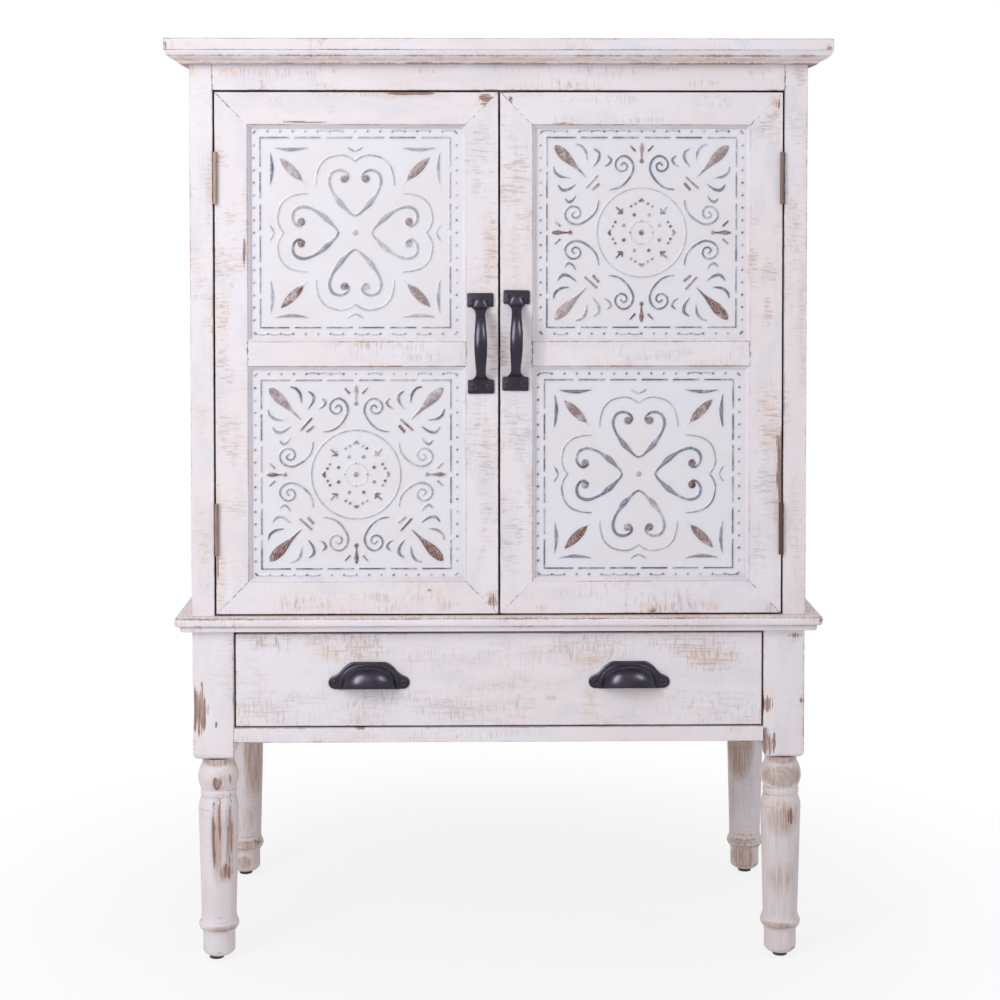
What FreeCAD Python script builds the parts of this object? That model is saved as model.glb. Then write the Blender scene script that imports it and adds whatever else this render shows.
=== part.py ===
import FreeCAD, Part
import os
import re
import Sketcher

from FreeCAD import Placement, Rotation, Vector

# Storage cabinet: a two-door case on a turned-leg stand with one drawer.
# Millimetres. X runs to the right, Y to the back and Z up. The origin is on the floor,
# in the middle of the space that the closed cabinet fills, its door pulls included.

doc = FreeCAD.newDocument("storage_cabinet")
sheet = doc.addObject("Spreadsheet::Sheet", "sizes")

SIZES = {
    # Case
    "case_width": 746,
    "case_depth": 373,
    "case_height": 683,
    "panel_thickness": 16,
    "face_thickness": 20,
    "face_stile_width": 27.5,
    "face_rail_height": 46,
    "back_thickness": 5,
    "floor_thickness": 16,
    # Top board and the moulding under it
    "top_thickness": 14,
    "top_overhang": 27,
    "moulding_lip": 0.5,
    "moulding_height": 15,
    "ovolo_height": 10.5,
    "ovolo_reach": 10,
    "ovolo_bow": 2,
    "moulding_step": 2,
    "cove_reach": 4,
    "cove_bow": 0.8,
    # Shelf and its pins
    "shelf_thickness": 16,
    "shelf_rise": 310,
    "shelf_side_gap": 1,
    "shelf_setback": 12,
    "shelf_pin_radius": 3,
    "shelf_pin_grip": 9,
    "shelf_pin_reach": 10,
    "shelf_pin_inset": 50,
    # Stand board
    "stand_height": 428,
    "board_thickness": 18,
    "board_nose": 11,
    "board_side_overhang": 20,
    "board_front_overhang": 15,
    "board_step": 6,
    "board_round": 4,
    # Legs, from the floor up
    "leg_width": 50,
    "leg_setback": 3,
    "leg_back_setback": 6,
    "leg_block_height": 160,
    "leg_block_round": 5,
    "leg_corner_round": 2,
    "glide_height": 6,
    "glide_radius": 9,
    "glide_pin_radius": 2,
    "glide_pin_length": 14,
    "toe_radius": 15,
    "toe_height": 6,
    "toe_bow": 1.2,
    "ankle_radius": 19.6,
    "ankle_height": 19,
    "bead_edge_radius": 22.4,
    "bead_rise": 7,
    "bead_hollow": 0.8,
    "bead_height": 11,
    "bead_bow": 2.2,
    "column_foot_radius": 21.2,
    "column_foot_rise": 6.5,
    "column_top_radius": 24.6,
    "shoulder_height": 14,
    "shoulder_bow": 0.5,
    "ring_radius": 21,
    "ring_height": 9,
    "ring_bow": 1.2,
    "bulb_height": 32,
    "bulb_bow": 4.6,
    "neck_radius": 19.6,
    "neck_height": 7,
    # Aprons, front rail and their tenons
    "apron_height": 138,
    "apron_thickness": 18,
    "apron_setback": 5,
    "front_rail_height": 18,
    "front_rail_thickness": 20,
    "flush_setback": 1,
    "tenon_length": 15,
    "tenon_thickness": 8,
    "tenon_shoulder": 12,
    "rail_tenon_shoulder": 4,
    "joint_gap": 0.1,
    # Drawer and its runners
    "drawer_gap": 2.4,
    "drawer_top_gap": 4.6,
    "drawer_front_thickness": 20,
    "drawer_side_gap": 5,
    "drawer_side_thickness": 12,
    "drawer_side_height": 95,
    "drawer_bottom_thickness": 5,
    "drawer_bottom_rise": 8,
    "groove_depth": 5,
    "slide_gap": 0.3,
    "runner_thickness": 12,
    "guide_height": 25,
    # Doors
    "door_gap": 2.4,
    "door_thickness": 20,
    "frame_face": 39,
    "bevel_width": 4,
    "bevel_depth": 6,
    "frame_lip": 8,
    "rebate_width": 8,
    "mid_rail_face": 30,
    "tile_thickness": 1,
    "tile_gap": 0.5,
    "backing_thickness": 5,
    # Butt hinges
    "hinge_length": 62,
    "hinge_inset": 103.4,
    "leaf_thickness": 1.1,
    "leaf_width": 17,
    "barrel_radius": 2.7,
    "barrel_forward": 3.2,
    "barrel_inset": 2,
    "hinge_pin_radius": 1.3,
    "hinge_pin_gap": 0.05,
    "hinge_pin_head": 0.4,
    "knuckle_gap": 0.2,
    "hinge_screw_spacing": 40,
    "hinge_screw_depth": 9.5,
    "hinge_screw_radius": 1.4,
    "hinge_screw_head": 2.8,
    "hinge_screw_length": 14,
    # Magnetic catch and its strike plates
    "catch_width": 44,
    "catch_depth": 16,
    "catch_pad_height": 16,
    "catch_nose_height": 25,
    "strike_width": 14,
    "strike_height": 22,
    "strike_thickness": 1,
    "strike_inset": 5,
    # Door pulls
    "pull_projection": 33,
    "pull_height": 122,
    "pull_width": 32,
    "pull_plate_height": 17,
    "pull_plate_thickness": 3,
    "pull_bow_thickness": 8,
    "pull_shoulder_width": 17.2,
    "pull_shoulder_drop": 2.5,
    "pull_neck_width": 11.2,
    "pull_neck_rise": 33.5,
    "pull_neck_bow": 0.6,
    "pull_belly_width": 15.4,
    "left_pull_inset": 22.5,
    "right_pull_inset": 20.3,
    "left_pull_rise": 329,
    "right_pull_rise": 332.5,
    "pull_screw_spacing": 18,
    "pull_screw_radius": 1.6,
    "pull_screw_head": 3.2,
    "pull_screw_head_height": 1.6,
    "pull_screw_length": 13,
    # Cup pulls
    "cup_spacing": 317,
    "cup_rise": 45.5,
    "cup_width": 99,
    "cup_height": 33,
    "cup_top_width": 40,
    "cup_ear_radius": 8,
    "cup_flange": 2.5,
    "cup_dome_width": 67,
    "cup_dome_height": 29,
    "cup_projection": 24,
    "cup_wall": 2.2,
    "cup_screw_radius": 1.8,
    "cup_screw_head": 3.6,
    "cup_screw_head_height": 1.6,
    "cup_screw_length": 14,
    # How far a cutting shape runs past what it cuts
    "overrun": 5,
}

# Places that follow from the sizes
PLACES = {
    "half_case": "case_width / 2",
    "face_y": "(pull_projection - case_depth) / 2",
    "back_y": "face_y + case_depth",
    "case_top": "stand_height + case_height",
    "moulding_reach": "top_overhang - moulding_lip",
    "opening_width": "case_width - 2 * face_stile_width",
    "opening_top": "case_top - face_rail_height",
    "inner_back_y": "back_y - back_thickness",
    "door_width": "(opening_width - 3 * door_gap) / 2",
    "door_height": "opening_top - stand_height - 2 * door_gap",
    "door_bottom": "stand_height + door_gap",
    "door_back_y": "face_y + door_thickness",
    "frame_reach": "frame_face + bevel_width",
    "panel_width": "door_width - 2 * (frame_reach - rebate_width + tile_gap)",
    "panel_height": "door_height - 2 * (frame_reach - rebate_width + tile_gap)",
    "mid_rail_spine": "mid_rail_face + 2 * (bevel_width - rebate_width)",
    "tile_height": "(panel_height - mid_rail_spine) / 2 - tile_gap",
    "leg_top": "stand_height - board_thickness",
    "leg_block_foot": "leg_top - leg_block_height",
    "leg_inset": "half_case - leg_width / 2",
    "front_leg_y": "face_y + leg_setback",
    "back_leg_y": "back_y - leg_back_setback - leg_width",
    "between_legs_y": "front_leg_y + leg_width",
    "between_legs": "back_leg_y - between_legs_y",
    "apron_bottom": "leg_top - apron_height",
    "apron_inside": "half_case - apron_setback - apron_thickness",
    "rail_top": "apron_bottom + front_rail_height",
    "drawer_opening": "case_width - 2 * leg_width",
    "drawer_front_y": "front_leg_y + flush_setback",
    "drawer_box_y": "drawer_front_y + drawer_front_thickness",
    "drawer_box_half": "drawer_opening / 2 - drawer_side_gap",
    "drawer_box_z": "rail_top + slide_gap",
    "back_apron_y": "back_leg_y + leg_width - apron_setback - apron_thickness",
    "drawer_box_depth": "back_apron_y - drawer_box_y - slide_gap",
    "knuckle_height": "(hinge_length - 4 * knuckle_gap) / 5",
    "hinge_axis_x": "(opening_width - door_gap) / 2 - barrel_inset",
    "hinge_axis_y": "face_y - barrel_forward",
    "pull_plate_z": "pull_height / 2 - pull_plate_height",
    "cup_ear_x": "cup_width / 2 - cup_ear_radius",
}

ALIASES = set(SIZES) | set(PLACES)

for row, (alias, value) in enumerate(SIZES.items(), start=1):
    sheet.set(f"A{row}", alias)
    sheet.set(f"B{row}", str(value))
    sheet.setAlias(f"B{row}", alias)
for row, (alias, text) in enumerate(PLACES.items(), start=1):
    sheet.set(f"D{row}", alias)
    sheet.set(f"E{row}", "=" + text)
    sheet.setAlias(f"E{row}", alias)
doc.recompute()

SIDES = (("left", -1), ("right", 1))
MATCH = 1e-4
AXIS_X = Vector(1, 0, 0)
AXIS_Y = Vector(0, 1, 0)
AXIS_Z = Vector(0, 0, 1)
WAYS = {
    "+X": Rotation(AXIS_Y, 90),
    "-X": Rotation(AXIS_Y, -90),
    "+Y": Rotation(AXIS_X, -90),
    "-Y": Rotation(AXIS_X, 90),
    "+Z": Rotation(),
}

nodes = []


def formula(text):
    """The expression with each alias pointed at its cell in the sheet."""
    return re.sub(r"[a-z_]+", lambda word: cell(word.group()), text)


def cell(word):
    return f"sizes.{word}" if word in ALIASES else word


def number(text):
    """What the expression comes to now."""
    return float(sheet.evalExpression(formula(text)))


def bind(thing, **expressions):
    for name, text in expressions.items():
        thing.setExpression(name, formula(text))


def place(thing, corner, turn=Rotation()):
    """Put a piece at a bound point, turned by a fixed rotation."""
    thing.Placement = Placement(Vector(), turn)
    for axis, text in zip("xyz", corner):
        thing.setExpression(f"Placement.Base.{axis}", formula(text))


def node(piece):
    """Mark a finished sub-part, which is written under its label."""
    nodes.append(piece)


def box(name, size, corner):
    piece = doc.addObject("Part::Box", name)
    bind(piece, Length=size[0], Width=size[1], Height=size[2])
    place(piece, corner)
    return piece


def cylinder(name, radius, length, start, way="+Z"):
    piece = doc.addObject("Part::Cylinder", name)
    bind(piece, Radius=radius, Height=length)
    place(piece, start, WAYS[way])
    return piece


def cone(name, first_radius, second_radius, length, start, way):
    piece = doc.addObject("Part::Cone", name)
    bind(piece, Radius1=first_radius, Radius2=second_radius, Height=length)
    place(piece, start, WAYS[way])
    return piece


def fuse(name, pieces):
    whole = doc.addObject("Part::MultiFuse", name)
    whole.Shapes = pieces
    return whole


def group(name, pieces):
    """Separate solids that share one node."""
    whole = doc.addObject("Part::Compound", name)
    whole.Links = pieces
    return whole


def cut(name, base, tools):
    result = doc.addObject("Part::Cut", name)
    result.Base = base
    result.Tool = tools[0] if len(tools) == 1 else fuse(name + "_tools", tools)
    return result


def common(name, first, second):
    result = doc.addObject("Part::Common", name)
    result.Base = first
    result.Tool = second
    return result


def across(side, near, width):
    """Low X of a piece that spans from near to near + width away from the middle plane."""
    return f"-({near}) - ({width})" if side < 0 else near


def grown(size, corner, gap):
    """A box's size and corner with a gap added all round."""
    wide = [f"{text} + 2 * {gap}" for text in size]
    low = [f"{text} - {gap}" for text in corner]
    return wide, low


def new_body(name):
    return doc.addObject("PartDesign::Body", name)


def new_sketch(body, name, role):
    sketch = body.newObject("Sketcher::SketchObject", name)
    plane = next(item for item in body.Origin.OriginFeatures if item.Role == role)
    sketch.AttachmentSupport = [(plane, "")]
    sketch.MapMode = "FlatFace"
    return sketch


def pin_constraint(sketch, kind, edge, text, point=None):
    """Add one dimension to a sketch and bind it to the sheet."""
    place_in_edge = (edge,) if point is None else (edge, point)
    index = sketch.addConstraint(Sketcher.Constraint(kind, *place_in_edge, number(text)))
    sketch.setExpression(f"Constraints[{index}]", formula(text))


def outline(sketch, corners):
    """Draw a closed outline with every corner bound to the sheet.

    A corner is (x, y), or (x, y, bow) where the edge after it is an arc that rises by bow
    from its chord: to the right of the way round if bow is positive, else to the left.
    """
    ends = []
    for corner, after in zip(corners, corners[1:] + corners[:1]):
        first = Vector(number(corner[0]), number(corner[1]), 0)
        last = Vector(number(after[0]), number(after[1]), 0)
        if len(corner) == 2:
            edge = sketch.addGeometry(Part.LineSegment(first, last), False)
            ends.append((edge, 1, 2))
            continue
        bow = number(corner[2])
        chord = last - first
        middle = (first + last) / 2 + Vector(chord.y, -chord.x, 0).normalize() * bow
        if bow > 0:
            edge = sketch.addGeometry(Part.Arc(first, middle, last), False)
            ends.append((edge, 1, 2))
        else:
            edge = sketch.addGeometry(Part.Arc(last, middle, first), False)
            ends.append((edge, 2, 1))
        span = f"(({after[0]}) - ({corner[0]}))^2 + (({after[1]}) - ({corner[1]}))^2"
        rise = f"abs({corner[2]})"
        pin_constraint(sketch, "Radius", edge, f"({span}) / (8 * {rise}) + {rise} / 2")
    for (edge, start, end), (next_edge, next_start, next_end) in zip(ends, ends[1:] + ends[:1]):
        sketch.addConstraint(Sketcher.Constraint("Coincident", edge, end, next_edge, next_start))
    for (edge, start, end), corner in zip(ends, corners):
        pin_constraint(sketch, "DistanceX", edge, corner[0], start)
        pin_constraint(sketch, "DistanceY", edge, corner[1], start)


def pad(body, name, sketch, length, symmetric=False):
    feature = body.newObject("PartDesign::Pad", name)
    feature.Profile = sketch
    feature.SideType = "Symmetric" if symmetric else "One side"
    bind(feature, Length=length)
    return feature


def pocket_through(body, name, sketch):
    feature = body.newObject("PartDesign::Pocket", name)
    feature.Profile = sketch
    feature.Type = "ThroughAll"
    feature.SideType = "Symmetric"
    return feature


def round_edges(body, name, base, radius, test):
    """Round the edges of a feature that pass a test."""
    doc.recompute()
    chosen = [f"Edge{index}" for index, edge in enumerate(base.Shape.Edges, start=1) if test(edge)]
    feature = body.newObject("PartDesign::Fillet", name)
    feature.Base = (base, chosen)
    bind(feature, Radius=radius)
    return feature


def level(edge, height):
    """Whether an edge lies flat at a height."""
    bounds = edge.BoundBox
    return abs(bounds.ZMin - height) < MATCH and abs(bounds.ZMax - height) < MATCH


def mitred_strip(name, section_outline, reach, length, outward, square_end=0):
    """A strip along Z with its section in XY and 45 degree ends, its middle at the origin.

    Inward strips are longest at X = 0, outward ones at X = reach. An end can stay square:
    1 for the upper one, -1 for the lower one.
    """
    body = new_body(name)
    section = new_sketch(body, name + "_section", "XY_Plane")
    outline(section, section_outline)
    full = f"{length} + 2 * ({reach})" if outward else length
    pad(body, name + "_pad", section, full, symmetric=True)
    ends = new_sketch(body, name + "_ends", "XZ_Plane")
    half = f"({length}) / 2"
    tip = f"{half} + {reach} + overrun"
    for end in (1, -1):
        if end == square_end:
            corners = [("-overrun", half), (f"{reach} + overrun", half),
                       (f"{reach} + overrun", tip), ("-overrun", tip)]
        elif outward:
            corners = [("-overrun", f"{half} - overrun"), (f"{reach} + overrun", tip),
                       ("-overrun", tip)]
        else:
            corners = [("-overrun", f"{half} + overrun"),
                       (f"{reach} + overrun", f"{half} - {reach} - overrun"),
                       (f"{reach} + overrun", tip), ("-overrun", tip)]
        outline(ends, [(x, f"{end} * ({z})") for x, z in corners])
    pocket_through(body, name + "_mitres", ends)
    return body


# Case

def make_top():
    node(box("top_board",
             ("case_width + 2 * top_overhang", "case_depth + top_overhang", "top_thickness"),
             ("-half_case - top_overhang", "face_y - top_overhang", "case_top")))


def make_moulding():
    """Ovolo and cove strips round the front and the sides, mitred at the front corners."""
    section = [("0", "0"),
               ("moulding_reach", "0", "ovolo_bow"),
               ("moulding_reach - ovolo_reach", "ovolo_height"),
               ("moulding_reach - ovolo_reach - moulding_step", "ovolo_height", "-cove_bow"),
               ("moulding_reach - ovolo_reach - moulding_step - cove_reach", "moulding_height"),
               ("0", "moulding_height")]
    front = mitred_strip("moulding_front", section, "moulding_reach", "case_width", True)
    place(front, ("0", "face_y", "case_top"), Rotation(-AXIS_Y, -AXIS_Z, AXIS_X, "XYZ"))
    strips = [front]
    for word, side in SIDES:
        strip = mitred_strip(f"moulding_{word}", section, "moulding_reach", "case_depth", True, side)
        out = AXIS_X * side
        turn = Rotation(out, -AXIS_Z, out.cross(-AXIS_Z), "XYZ")
        place(strip, (f"{side} * half_case", "face_y + case_depth / 2", "case_top"), turn)
        strips.append(strip)
    node(group("top_moulding", strips))


def make_face_frame():
    """Two stiles with holes for the hinge screws, and the rail between their heads."""
    for word, side in SIDES:
        stile = box(f"{word}_stile_blank",
                    ("face_stile_width", "face_thickness", "case_height"),
                    (across(side, "opening_width / 2", "face_stile_width"),
                     "face_y", "stand_height"))
        holes = hinge_screw_holes(word, side, f"{word}_stile", "frame")
        node(cut(f"{word}_face_stile", stile, holes))
    node(box("top_face_rail", ("opening_width", "face_thickness", "face_rail_height"),
             ("-opening_width / 2", "face_y", "opening_top")))


def make_panels():
    """Side panels with holes for the shelf pins, the back and the case floor."""
    depth = "case_depth - face_thickness"
    for word, side in SIDES:
        panel = box(f"{word}_panel_blank", ("panel_thickness", depth, "case_height"),
                    (across(side, "half_case - panel_thickness", "panel_thickness"),
                     "face_y + face_thickness", "stand_height"))
        holes = [shelf_pin(f"{word}_panel_hole_{number_along}", side, y,
                           "shelf_pin_radius + joint_gap", "shelf_pin_grip + joint_gap", "0")
                 for number_along, y in enumerate(SHELF_PIN_ROWS)]
        node(cut(f"{word}_side_panel", panel, holes))
    inside = "case_width - 2 * panel_thickness"
    low_x = "panel_thickness - half_case"
    node(box("back_panel", (inside, "back_thickness", "case_height"),
             (low_x, "inner_back_y", "stand_height")))
    node(box("case_floor", (inside, "inner_back_y - door_back_y - slide_gap", "floor_thickness"),
             (low_x, "door_back_y + slide_gap", "stand_height")))


SHELF_PIN_ROWS = ("door_back_y + shelf_setback + shelf_pin_inset", "inner_back_y - shelf_pin_inset")


def shelf_pin(name, side, y, radius, grip, reach):
    """A shelf pin, or the hole for one, from inside a side panel towards the middle."""
    start = f"{side} * (half_case - panel_thickness + {grip})"
    height = "stand_height + shelf_rise - shelf_pin_radius"
    return cylinder(name, radius, f"{grip} + {reach}", (start, y, height), "-X" if side > 0 else "+X")


def make_shelf():
    node(box("shelf",
             ("case_width - 2 * (panel_thickness + shelf_side_gap)",
              "inner_back_y - door_back_y - shelf_setback", "shelf_thickness"),
             ("panel_thickness + shelf_side_gap - half_case",
              "door_back_y + shelf_setback", "stand_height + shelf_rise")))
    pins = [shelf_pin(f"shelf_pin_{word}_{number_along}", side, y,
                      "shelf_pin_radius", "shelf_pin_grip", "shelf_pin_reach")
            for word, side in SIDES for number_along, y in enumerate(SHELF_PIN_ROWS)]
    node(group("shelf_pins", pins))


def make_catch():
    """Magnetic catch on the back of the face rail; its nose hangs behind both doors."""
    pad_block = box("catch_pad", ("catch_width", "catch_depth", "catch_pad_height"),
                    ("-catch_width / 2", "face_y + face_thickness", "opening_top"))
    nose_y = "door_back_y + strike_thickness + slide_gap"
    nose = box("catch_nose",
               ("catch_width", f"face_y + face_thickness + catch_depth - ({nose_y})",
                "catch_nose_height"),
               ("-catch_width / 2", nose_y, "opening_top - catch_nose_height"))
    node(fuse("magnet_catch", [pad_block, nose]))


# Stand

def make_stand_board():
    """One board with a rounded nose over a narrower lower step."""
    body = new_body("stand_board")
    upper = new_sketch(body, "stand_board_upper", "XY_Plane")
    half = "half_case + board_side_overhang"
    front = "face_y - board_front_overhang"
    outline(upper, [(f"-({half})", front), (half, front), (half, "back_y"), (f"-({half})", "back_y")])
    bind(upper, **{"AttachmentOffset.Base.z": "stand_height - board_nose"})
    pad(body, "stand_board_nose", upper, "board_nose")
    lower = new_sketch(body, "stand_board_lower", "XY_Plane")
    inner = f"{half} - board_step"
    inner_front = f"{front} + board_step"
    outline(lower, [(f"-({inner})", inner_front), (inner, inner_front),
                    (inner, "back_y"), (f"-({inner})", "back_y")])
    bind(lower, **{"AttachmentOffset.Base.z": "leg_top"})
    step = pad(body, "stand_board_step", lower, "board_thickness - board_nose")
    back = number("back_y")
    top = number("stand_height")
    round_edges(body, "stand_board_round", step, "board_round",
                lambda edge: level(edge, top) and edge.BoundBox.YMin < back - MATCH)
    body.Label = "stand_top"
    node(body)


def leg_blank(name, corner):
    """A turned leg under a square block, its axis on Z."""
    body = new_body(name)
    turning = new_sketch(body, name + "_turning", "XZ_Plane")
    ankle = "glide_height + toe_height"
    bead = f"{ankle} + ankle_height + bead_rise"
    neck = "leg_block_foot - neck_height"
    ring = f"{neck} - bulb_height - ring_height"
    outline(turning, [("0", "glide_height"),
                      ("toe_radius", "glide_height", "toe_bow"),
                      ("ankle_radius", ankle),
                      ("ankle_radius", f"{ankle} + ankle_height", "-bead_hollow"),
                      ("bead_edge_radius", bead, "bead_bow"),
                      ("bead_edge_radius", f"{bead} + bead_height"),
                      ("column_foot_radius", f"{bead} + bead_height + column_foot_rise"),
                      ("column_top_radius", f"{ring} - shoulder_height", "shoulder_bow"),
                      ("ring_radius", ring, "ring_bow"),
                      ("ring_radius", f"{ring} + ring_height", "bulb_bow"),
                      ("neck_radius", neck),
                      ("neck_radius", "leg_block_foot"),
                      ("0", "leg_block_foot")])
    turned = body.newObject("PartDesign::Revolution", name + "_turned")
    turned.Profile = turning
    turned.ReferenceAxis = (turning, ["V_Axis"])
    turned.Angle = 360
    square = new_sketch(body, name + "_square", "XY_Plane")
    half = "leg_width / 2"
    outline(square, [(f"-{half}", f"-{half}"), (half, f"-{half}"), (half, half), (f"-{half}", half)])
    bind(square, **{"AttachmentOffset.Base.z": "leg_block_foot"})
    block = pad(body, name + "_block", square, "leg_block_height")
    height = number("leg_block_height")
    softened = round_edges(body, name + "_corners", block, "leg_corner_round",
                           lambda edge: abs(edge.BoundBox.ZLength - height) < MATCH
                           and edge.BoundBox.DiagonalLength < height + MATCH)
    foot_level = number("leg_block_foot")
    reach = number("neck_radius")
    round_edges(body, name + "_block_foot", softened, "leg_block_round",
                lambda edge: level(edge, foot_level)
                and edge.CenterOfMass.sub(Vector(0, 0, foot_level)).Length > reach)
    place(body, corner)
    return body


def tenoned(name, size, corner, along, shoulder):
    """Make a rail with a centred tenon at each end, and return the shape of both mortises.

    Along is the index of the axis that the rail runs on: 0 for X, 1 for Y.
    """
    thick = 1 - along
    core_size = list(size)
    core_corner = list(corner)
    core_size[along] = f"{size[along]} + 2 * tenon_length"
    core_corner[along] = f"{corner[along]} - tenon_length"
    core_size[thick] = "tenon_thickness"
    core_corner[thick] = f"{corner[thick]} + ({size[thick]} - tenon_thickness) / 2"
    core_size[2] = f"{size[2]} - 2 * {shoulder}"
    core_corner[2] = f"{corner[2]} + {shoulder}"
    rail = fuse(name, [box(name + "_body", size, corner), box(name + "_core", core_size, core_corner)])
    node(rail)
    return box(name + "_mortise", *grown(core_size, core_corner, "joint_gap"))


def make_stand():
    """Legs, aprons, front rail and glides."""
    side_mortises = {}
    for word, side in SIDES:
        side_mortises[side] = tenoned(
            f"{word}_apron", ("apron_thickness", "between_legs", "apron_height"),
            (across(side, "apron_inside", "apron_thickness"), "between_legs_y", "apron_bottom"),
            1, "tenon_shoulder")
    back_mortise = tenoned(
        "back_apron", ("drawer_opening", "apron_thickness", "apron_height"),
        ("-drawer_opening / 2", "back_apron_y", "apron_bottom"), 0, "tenon_shoulder")
    front_mortise = tenoned(
        "front_rail", ("drawer_opening", "front_rail_thickness", "front_rail_height"),
        ("-drawer_opening / 2", "drawer_front_y", "apron_bottom"),
        0, "rail_tenon_shoulder")
    glides = []
    for row, leg_y, cross_mortise in (("front", "front_leg_y", front_mortise),
                                      ("rear", "back_leg_y", back_mortise)):
        for word, side in SIDES:
            name = f"{row}_{word}_leg"
            x = f"{side} * leg_inset"
            y = f"{leg_y} + leg_width / 2"
            blank = leg_blank(name + "_blank", (x, y, "0"))
            hole = cylinder(name + "_glide_hole", "glide_pin_radius + joint_gap",
                            "glide_pin_length + joint_gap", (x, y, "glide_height"))
            node(cut(name, blank, [side_mortises[side], cross_mortise, hole]))
            disc = cylinder(name + "_glide_disc", "glide_radius", "glide_height", (x, y, "0"))
            pin = cylinder(name + "_glide_pin", "glide_pin_radius", "glide_pin_length",
                           (x, y, "glide_height"))
            glides.append(fuse(name + "_glide", [disc, pin]))
    node(group("leg_glides", glides))


def make_runners():
    """Under each drawer side a ledge, with a guide beside it, on the inside of the apron."""
    runners = []
    for word, side in SIDES:
        ledge_near = "drawer_box_half - drawer_side_thickness"
        ledge_wide = f"apron_inside - ({ledge_near})"
        ledge = box(f"{word}_ledge", (ledge_wide, "between_legs", "runner_thickness"),
                    (across(side, ledge_near, ledge_wide), "between_legs_y",
                     "rail_top - runner_thickness"))
        guide_near = "drawer_box_half + slide_gap"
        guide_wide = f"apron_inside - ({guide_near})"
        guide = box(f"{word}_guide", (guide_wide, "between_legs", "guide_height"),
                    (across(side, guide_near, guide_wide), "between_legs_y", "rail_top"))
        runners.append(fuse(f"{word}_runner", [ledge, guide]))
    node(group("drawer_runners", runners))


# Drawer

def make_drawer():
    """Front, two grooved sides, back, and a bottom panel that sits in the grooves."""
    bottom_wide = "2 * (drawer_box_half - drawer_side_thickness + groove_depth - joint_gap)"
    bottom_deep = "drawer_box_depth + groove_depth - joint_gap"
    bottom_z = "drawer_box_z + drawer_bottom_rise"
    bottom_size = (bottom_wide, bottom_deep, "drawer_bottom_thickness")
    bottom_corner = (f"-({bottom_wide}) / 2", "drawer_box_y - groove_depth + joint_gap", bottom_z)
    node(box("drawer_bottom", bottom_size, bottom_corner))
    groove_size, groove_corner = grown(bottom_size, bottom_corner, "joint_gap")
    groove_size[1] = f"{groove_size[1]} + overrun"
    front = box("drawer_front_blank",
                ("drawer_opening - 2 * drawer_gap", "drawer_front_thickness",
                 "leg_top - rail_top - drawer_gap - drawer_top_gap"),
                ("drawer_gap - drawer_opening / 2", "drawer_front_y", "rail_top + drawer_gap"))
    front_tools = [box("drawer_front_groove", groove_size, groove_corner)]
    front_tools += [cylinder(f"cup_hole_{index}", "cup_screw_radius + joint_gap",
                             "cup_screw_length + joint_gap",
                             (x, "drawer_front_y", f"{CUP_BASE_Z} + cup_ear_radius"), "+Y")
                    for index, x in enumerate(cup_screw_places())]
    node(cut("drawer_front", front, front_tools))
    for word, side in SIDES:
        board = box(f"drawer_{word}_blank",
                    ("drawer_side_thickness", "drawer_box_depth", "drawer_side_height"),
                    (across(side, "drawer_box_half - drawer_side_thickness",
                            "drawer_side_thickness"), "drawer_box_y", "drawer_box_z"))
        groove = box(f"drawer_{word}_groove", groove_size, groove_corner)
        node(cut(f"drawer_{word}_side", board, [groove]))
    back_z = f"{bottom_z} + drawer_bottom_thickness"
    node(box("drawer_back",
             ("2 * (drawer_box_half - drawer_side_thickness)", "drawer_side_thickness",
              f"drawer_box_z + drawer_side_height - ({back_z})"),
             ("drawer_side_thickness - drawer_box_half",
              "drawer_box_y + drawer_box_depth - drawer_side_thickness", back_z)))


CUP_BASE_Z = "rail_top + drawer_gap + cup_rise"

# The arc of an ear, as shares of its radius, from its lowest point to the sloping shoulder
EAR_END_SHARES = (0.6, 1.8)
EAR_BOW_SHARE = 0.684


def cup_screw_places():
    return [f"{side} * cup_spacing / 2 + {ear} * cup_ear_x" for word, side in SIDES for ear in (-1, 1)]


def cup_dome(name, wall):
    """The cup's ellipsoid, or with a wall taken off, its hollow. It is centred on the base line."""
    dome = doc.addObject("Part::Ellipsoid", name)
    bind(dome, Radius1=f"cup_dome_height - {wall}", Radius2=f"cup_dome_width / 2 - {wall}",
         Radius3=f"cup_projection - {wall}")
    return dome


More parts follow.
